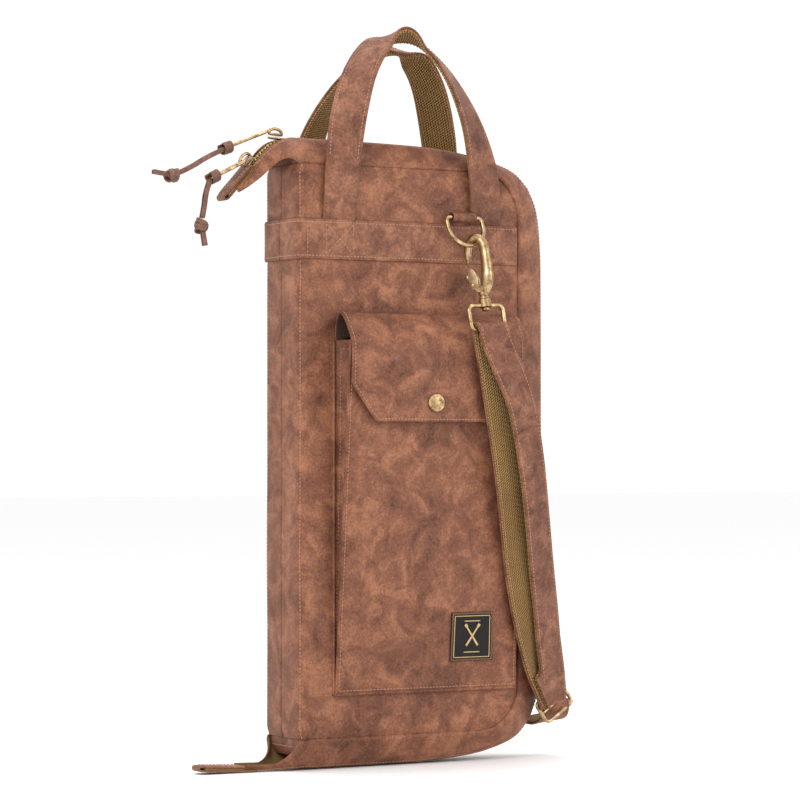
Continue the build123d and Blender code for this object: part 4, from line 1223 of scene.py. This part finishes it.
def folded_tab(name, line, nodes):
    """A leather end folded round the tape: out along one side, round its tip and back."""
    line = smooth_line(line, 26)
    points = np.column_stack((line[:, 0], np.zeros(len(line)), line[:, 1]))
    turn = tangents(points)
    off = unit(np.cross(turn, (0, 1, 0)))
    tip = np.array([points[-1] + turn[-1] * TAB_GAP * math.sin(a) + off[-1] * TAB_GAP * math.cos(a)
                    for a in np.linspace(0, math.pi, 9)[1:-1]])
    path = np.vstack((points + off * TAB_GAP, tip, (points - off * TAB_GAP)[::-1]))
    face = np.vstack((off, unit(tip - points[-1]), -off[::-1]))
    shape = 1 - 0.30 * np.exp(-((np.arange(len(path)) - len(path) / 2) / 5.0) ** 2)
    outer = strap(name, path, face, TAB_WIDE, 0.0015, STRAP_LEATHER, shape)
    place(outer, "bag_leather", "spine", replaces=nodes)
    core = strap(name + "_core", points[:-2], off[:-2], TAB_WIDE - 0.0016, TAB_GAP * 2 - 0.0012, TAPE)
    place(core, "zip_tape", "spine")
    rows = []
    for sign in (1, -1):
        for shift in (-1, 1):
            base = points[2:-2] + off[2:-2] * sign * (TAB_GAP + 0.0008)
            rows.append((base + np.array((0, 1, 0)) * shift * (TAB_WIDE / 2 - 0.0022), off[2:-2] * sign))
    place(stitches(name + "_stitching", rows), "bag_leather", "spine")


def spine_end(name, near, far, sewn_at):
    """The spine's leather at one end, from the bag to its free edge, narrowed and curled out."""

    def point(z, y_share):
        """A point of the piece."""
        free = (z - near) / (far - near)
        width = 0.0262 - 0.0050 * smoothstep((free - 0.55) / 0.45)
        return LEFT + 0.0030 - 0.0024 * math.sin(math.pi * free * 0.8) + 0.0035 * free, y_share * width, z

    grid = grid_of(point, np.linspace(min(near, far), max(near, far), 12), np.linspace(-1, 1, 25))
    made = skin(f"spine_{name}_end_leather", grid, LEATHER, (-1, 0, 0), 0.0018)
    place(made, "bag_leather", "spine", replaces=[f"spine_{name}_flap"])
    line = row_on(grid, [(sewn_at, 0.03), (sewn_at, 0.97)], (-1, 0, 0))
    place(stitches(f"spine_{name}_end_stitching", [line]), "bag_leather", "spine")


TOP_TAB = [(-0.1500, 0.4860), (-0.1580, 0.4768), (-0.1660, 0.4680), (-0.1722, 0.4607)]
BOTTOM_TAB = [(-0.1560, 0.0026), (-0.1700, 0.0034), (-0.1850, 0.0041), (-0.1945, 0.0046)]
folded_tab("top_tail_leather", TOP_TAB, ["top_tail_tape", "top_tail_tab"])
folded_tab("bottom_tail_leather", BOTTOM_TAB, ["bottom_tail_tape", "bottom_tail_tab"])
spine_end("top", 0.4870, 0.5040, 0.55)
spine_end("bottom", 0.0285, 0.0110, 0.45)

# ------------ zip sliders and pulls

Y_AXIS = Vector((0, 1, 0))


def slider(name, node_name, centre, degrees):
    """A zip slider: a waisted upper plate and lower plate round the coil, with a bridge for its pull."""
    angle = math.radians(degrees)
    along, up = Vector((math.cos(angle), 0, math.sin(angle))), Vector((-math.sin(angle), 0, math.cos(angle)))
    outline = []
    for a in 2 * math.pi * np.arange(40) / 40:
        reach = 0.0062 * math.cos(a)
        bow = math.copysign(abs(math.sin(a)) ** 0.7, math.sin(a))
        outline.append((reach, 0.0046 * bow * (1 - 0.20 * (0.5 - reach / 0.0124))))
    parts = []
    for lifts in ((0.0008, 0.0023), (-0.0022, -0.0010)):
        faces = [in_frame(centre + up * lift, along, Y_AXIS, outline) for lift in lifts]
        parts.append(slab(*faces, 0.0003, 2))
    bridge = [(-0.0056 * math.cos(a), 0.0018 + 0.0044 * math.sin(a) ** 0.7)
              for a in np.linspace(0.02, math.pi - 0.02, 20)]
    parts.append(tube("bridge", in_frame(centre, along, up, bridge), 0.0013, BRASS, sides=10))
    place(joined(name + "_slider_body", parts), "antique_brass", name + "_slider", replaces=[node_name])


def pull(name, node_name, start, end, y):
    """A wire pull: a long narrow loop with a plate and two bars across it."""
    start, end = Vector((start[0], y, start[1])), Vector((end[0], y, end[1]))
    reach = end - start
    along = reach.normalized()
    normal = along.cross(Y_AXIS)
    wire = in_frame((start + end) / 2, along, Y_AXIS, rounded_loop(reach.length / 2, 0.0026, 0.0024))
    parts = [tube("wire", wire, 0.0013, BRASS, sides=10, normal=normal, closed=True)]
    for share in (0.42, 0.62):
        bar = [start + reach * share + Y_AXIS * w for w in np.linspace(-0.0024, 0.0024, 5)]
        parts.append(tube("bar", bar, 0.0010, BRASS, sides=10, normal=normal))
    plate = [start + reach * share for share in np.linspace(0.30, 0.80, 12)]
    parts.append(strap("plate", plate, [normal] * 12, 0.0054, 0.0016, BRASS))
    place(joined(name + "_pull_wire", parts), "antique_brass", name + "_pull", replaces=[node_name])


def round_axes(axis):
    """An axis of length one and two directions round it."""
    axis = Vector(axis).normalized()
    side = axis.cross(Y_AXIS).normalized()
    return axis, side, side.cross(axis)


def lace_wrap(name, centre, axis, turns):
    """The lace's loop, drawn tight round the end of its pull."""
    axis, side, up = round_axes(axis)
    points, faces = [], []
    for t in np.linspace(0, 1, int(30 * turns)):
        angle = 2 * math.pi * turns * t + 0.6
        way = side * math.cos(angle) + up * math.sin(angle) * 1.15
        points.append(Vector(centre) + way * 0.0042 + axis * 0.0036 * turns * (t - 0.5))
        faces.append(way)
    made = strap(name + "_lace_wrap", points, faces, 0.0042, 0.0013, KNOT_LEATHER)
    place(made, "lace", name + "_pull")


# Slopes, shift along the knot and radius of each of the lace's turns in it
KNOT_TURNS = ((0.55, 0.2, 0.0016, 0.00418), (-0.60, 0.5, -0.0008, 0.0049), (0.25, -0.7, -0.0032, 0.0041))


def knot(name, centre, axis, end_axis, end_length):
    """An overhand knot in the lace's two strands, with both cut ends beyond it."""
    axis, side, up = round_axes(axis)
    centre, end_axis = Vector(centre), Vector(end_axis).normalized()
    parts = []
    for layer, (slope_a, slope_b, shift, radius) in enumerate(KNOT_TURNS):
        points, faces = [], []
        for t in np.linspace(0, 2 * math.pi, 34):
            way = (side * math.cos(t) + up * math.sin(t) * 0.86).normalized()
            slope = slope_a * math.cos(t + layer) + slope_b * math.sin(t)
            points.append(centre + way * radius + axis * (slope * 0.0022 + shift))
            faces.append(way)
        parts.append(strap("turn", points, faces, 0.0044, 0.0015, KNOT_LEATHER))
    core = [centre + axis * shift for shift in (-0.0040, -0.0015, 0.0015, 0.0036)]
    parts.append(tube("core", core, 0.0034, KNOT_LEATHER))
    for y_shift in (-0.0012, 0.0012):
        start = centre - end_axis * 0.0005 + Y_AXIS * y_shift
        way = end_axis * end_length + Y_AXIS * y_shift * 0.4
        points = [start + way * t for t in np.linspace(0, 1, 8)]
        parts.append(strap("end", points, [(0, 1, 0)] * 8, 0.0036, 0.0014, KNOT_LEATHER))
    made = joined(name + "_knot_leather", parts)
    place(made, "lace", name + "_pull", replaces=[name + "_knot"])
    return made


slider("upper", "zip_slider_upper", Vector((-0.1250, 0, 0.5122)), -5)
slider("lower", "zip_slider_lower", Vector((-0.1502, 0, 0.4906)), 49)
pull("upper", "zip_pull_upper", (-0.1300, 0.5166), (-0.1675, 0.5014), 0.0040)
pull("lower", "zip_pull_lower", (-0.1545, 0.4906), (-0.1838, 0.4757), -0.0040)
lace_wrap("upper", (-0.1668, 0.0040, 0.5012), (1, 0, 0.36), 2.1)
lace_wrap("lower", (-0.1822, -0.0040, 0.4766), (1, 0, 0.5), 2.0)
upper_knot = knot("upper", (-0.2135, 0.0040, 0.4772), (1, 0, 0.25), (-1, 0, 0.12), 0.0190)
lower_knot = knot("lower", (-0.1930, -0.0040, 0.4382), (0.2, 0, 1), (0.18, 0, -1), 0.0175)
for name, route, y, length, tied in (
    ("upper_lace_front", UPPER_ROUTE, 0.0026, 0.0445, upper_knot),
    ("upper_lace_rear", UPPER_ROUTE, 0.0054, 0.0445, upper_knot),
    ("lower_lace_front", LOWER_ROUTE, -0.0054, 0.0318, lower_knot),
    ("lower_lace_rear", LOWER_ROUTE, -0.0026, 0.0318, lower_knot),
):
    lace(name + "_strand", route, y, name.split("_")[0] + "_pull", length, tied)

# ------------ inside: lining and stick sleeves

LINING_OUT = -span("front_lining")[1].y


def lining_point(z, s):
    """A point of the lining, s of the way from the spine to the free side."""
    x = LEFT + 0.004 + (free_edge(z) - 0.002 - LEFT - 0.004) * s
    return x, -(LINING_OUT + wave(x, 1.3, z, 0.05, 0.0008)), z


lining_grid = grid_of(lining_point, np.linspace(LOW + 0.002, HIGH - 0.002, 40), np.linspace(0, 1, 36))
for side in (1, -1):
    face = (0, side, 0)
    lining = skin(to_half(side, "lining_cloth"), flipped(lining_grid, side), LINING, face, 0.0008, levels=0)
    place(lining, "lining", bend=spine_bend(side), replaces=[to_half(side, "lining")])
    to_half(side, "cover_leather")

    sleeve_low, sleeve_high = span(to_half(side, "stick_sleeves"))

    def sleeve_point(z, s):
        """A point of the sleeves: two pockets side by side, gathered at their foot."""
        x = sleeve_low.x + (sleeve_high.x - sleeve_low.x) * s
        up = (z - sleeve_low.z) / (sleeve_high.z - sleeve_low.z)
        puff = abs(math.sin(2 * math.pi * s)) ** 0.6 * 0.0098 * (0.35 + 0.65 * smoothstep(up / 0.25))
        return x, -(LINING_OUT - 0.0006 - puff - wave(x, 2.1, z, 0.04, 0.0008)), z

    sleeve_grid = grid_of(sleeve_point, np.linspace(sleeve_low.z, sleeve_high.z, 40), np.linspace(0, 1, 61))
    sleeve = skin(to_half(side, "sleeve_cloth"), flipped(sleeve_grid, side), LINING, face, 0.0008)
    place(sleeve, "lining", to_half(side, "half"), replaces=[to_half(side, "stick_sleeves")])
    to_half(side, "lining_cloth")
    made_up = flipped(sleeve_grid, side)
    sewn = [row_on(made_up, [(0.975, 0.01), (0.975, 0.99)], face, steps=120)]
    sewn += [row_on(made_up, [(0.01, b), (0.97, b)], face, steps=80) for b in (0.006, 0.5, 0.994)]
    place(stitches(to_half(side, "sleeve_stitching"), sewn), "lining", to_half(side, "half"))

spine_face = span("spine_lining")[1].x
spine_grid = grid_of(lambda z, y: (spine_face + wave(0, y, z, 0.04, 0.0006), y, z),
                     np.linspace(0.0300, 0.4850, 40), np.linspace(-0.0262, 0.0262, 16))
lining = skin("spine_lining_cloth", spine_grid, LINING, (1, 0, 0), 0.0008, levels=0)
place(lining, "lining", "spine", replaces=["spine_lining", "spine_panel", "spine_band"])

# ------------ hardware that keeps its CAD shape

for node_name in ("d_ring", "swivel_eye", "gate_pin", "snap_stud"):
    kept = frame["nodes"][node_name]
    kept.data.materials.clear()
    kept.data.materials.append(FRAME_BRASS)

# ------------ floor, light and world

FLOOR_HALF = 14.0
floor_mesh = bpy.data.meshes.new("floor")
floor_corners = [(x * FLOOR_HALF, y * FLOOR_HALF, 0) for x, y in ((-1, -1), (1, -1), (1, 1), (-1, 1))]
floor_mesh.from_pydata(floor_corners, [], [(0, 1, 2, 3)])
floor = bpy.data.objects.new("floor", floor_mesh)
floor.location.z = -0.0002
bpy.context.scene.collection.objects.link(floor)
floor_mesh.materials.append(new_material("floor_white", Base_Color=(0.93, 0.93, 0.93, 1.0), Roughness=0.9)[0])


def soft_light(name, where, size, power, aim=(0.0, 0.0, 0.26)):
    """A square softbox that looks at the object."""
    data = bpy.data.lights.new(name, "AREA")
    data.size = size
    data.energy = power
    light = bpy.data.objects.new(name, data)
    light.location = where
    light.rotation_euler = (Vector(aim) - Vector(where)).to_track_quat("-Z", "Y").to_euler()
    bpy.context.scene.collection.objects.link(light)


soft_light("key", (-2.2, -1.6, 1.9), 1.2, 34)
soft_light("fill", (1.5, -2.4, 1.1), 1.6, 20)
soft_light("top", (0.0, 0.3, 2.4), 1.2, 18)
world = bpy.data.worlds.new("studio")
bpy.context.scene.world = world
world.use_nodes = True
background = world.node_tree.nodes["Background"].inputs
background["Color"].default_value = (1.0, 1.0, 1.0, 1.0)
background["Strength"].default_value = 1.04
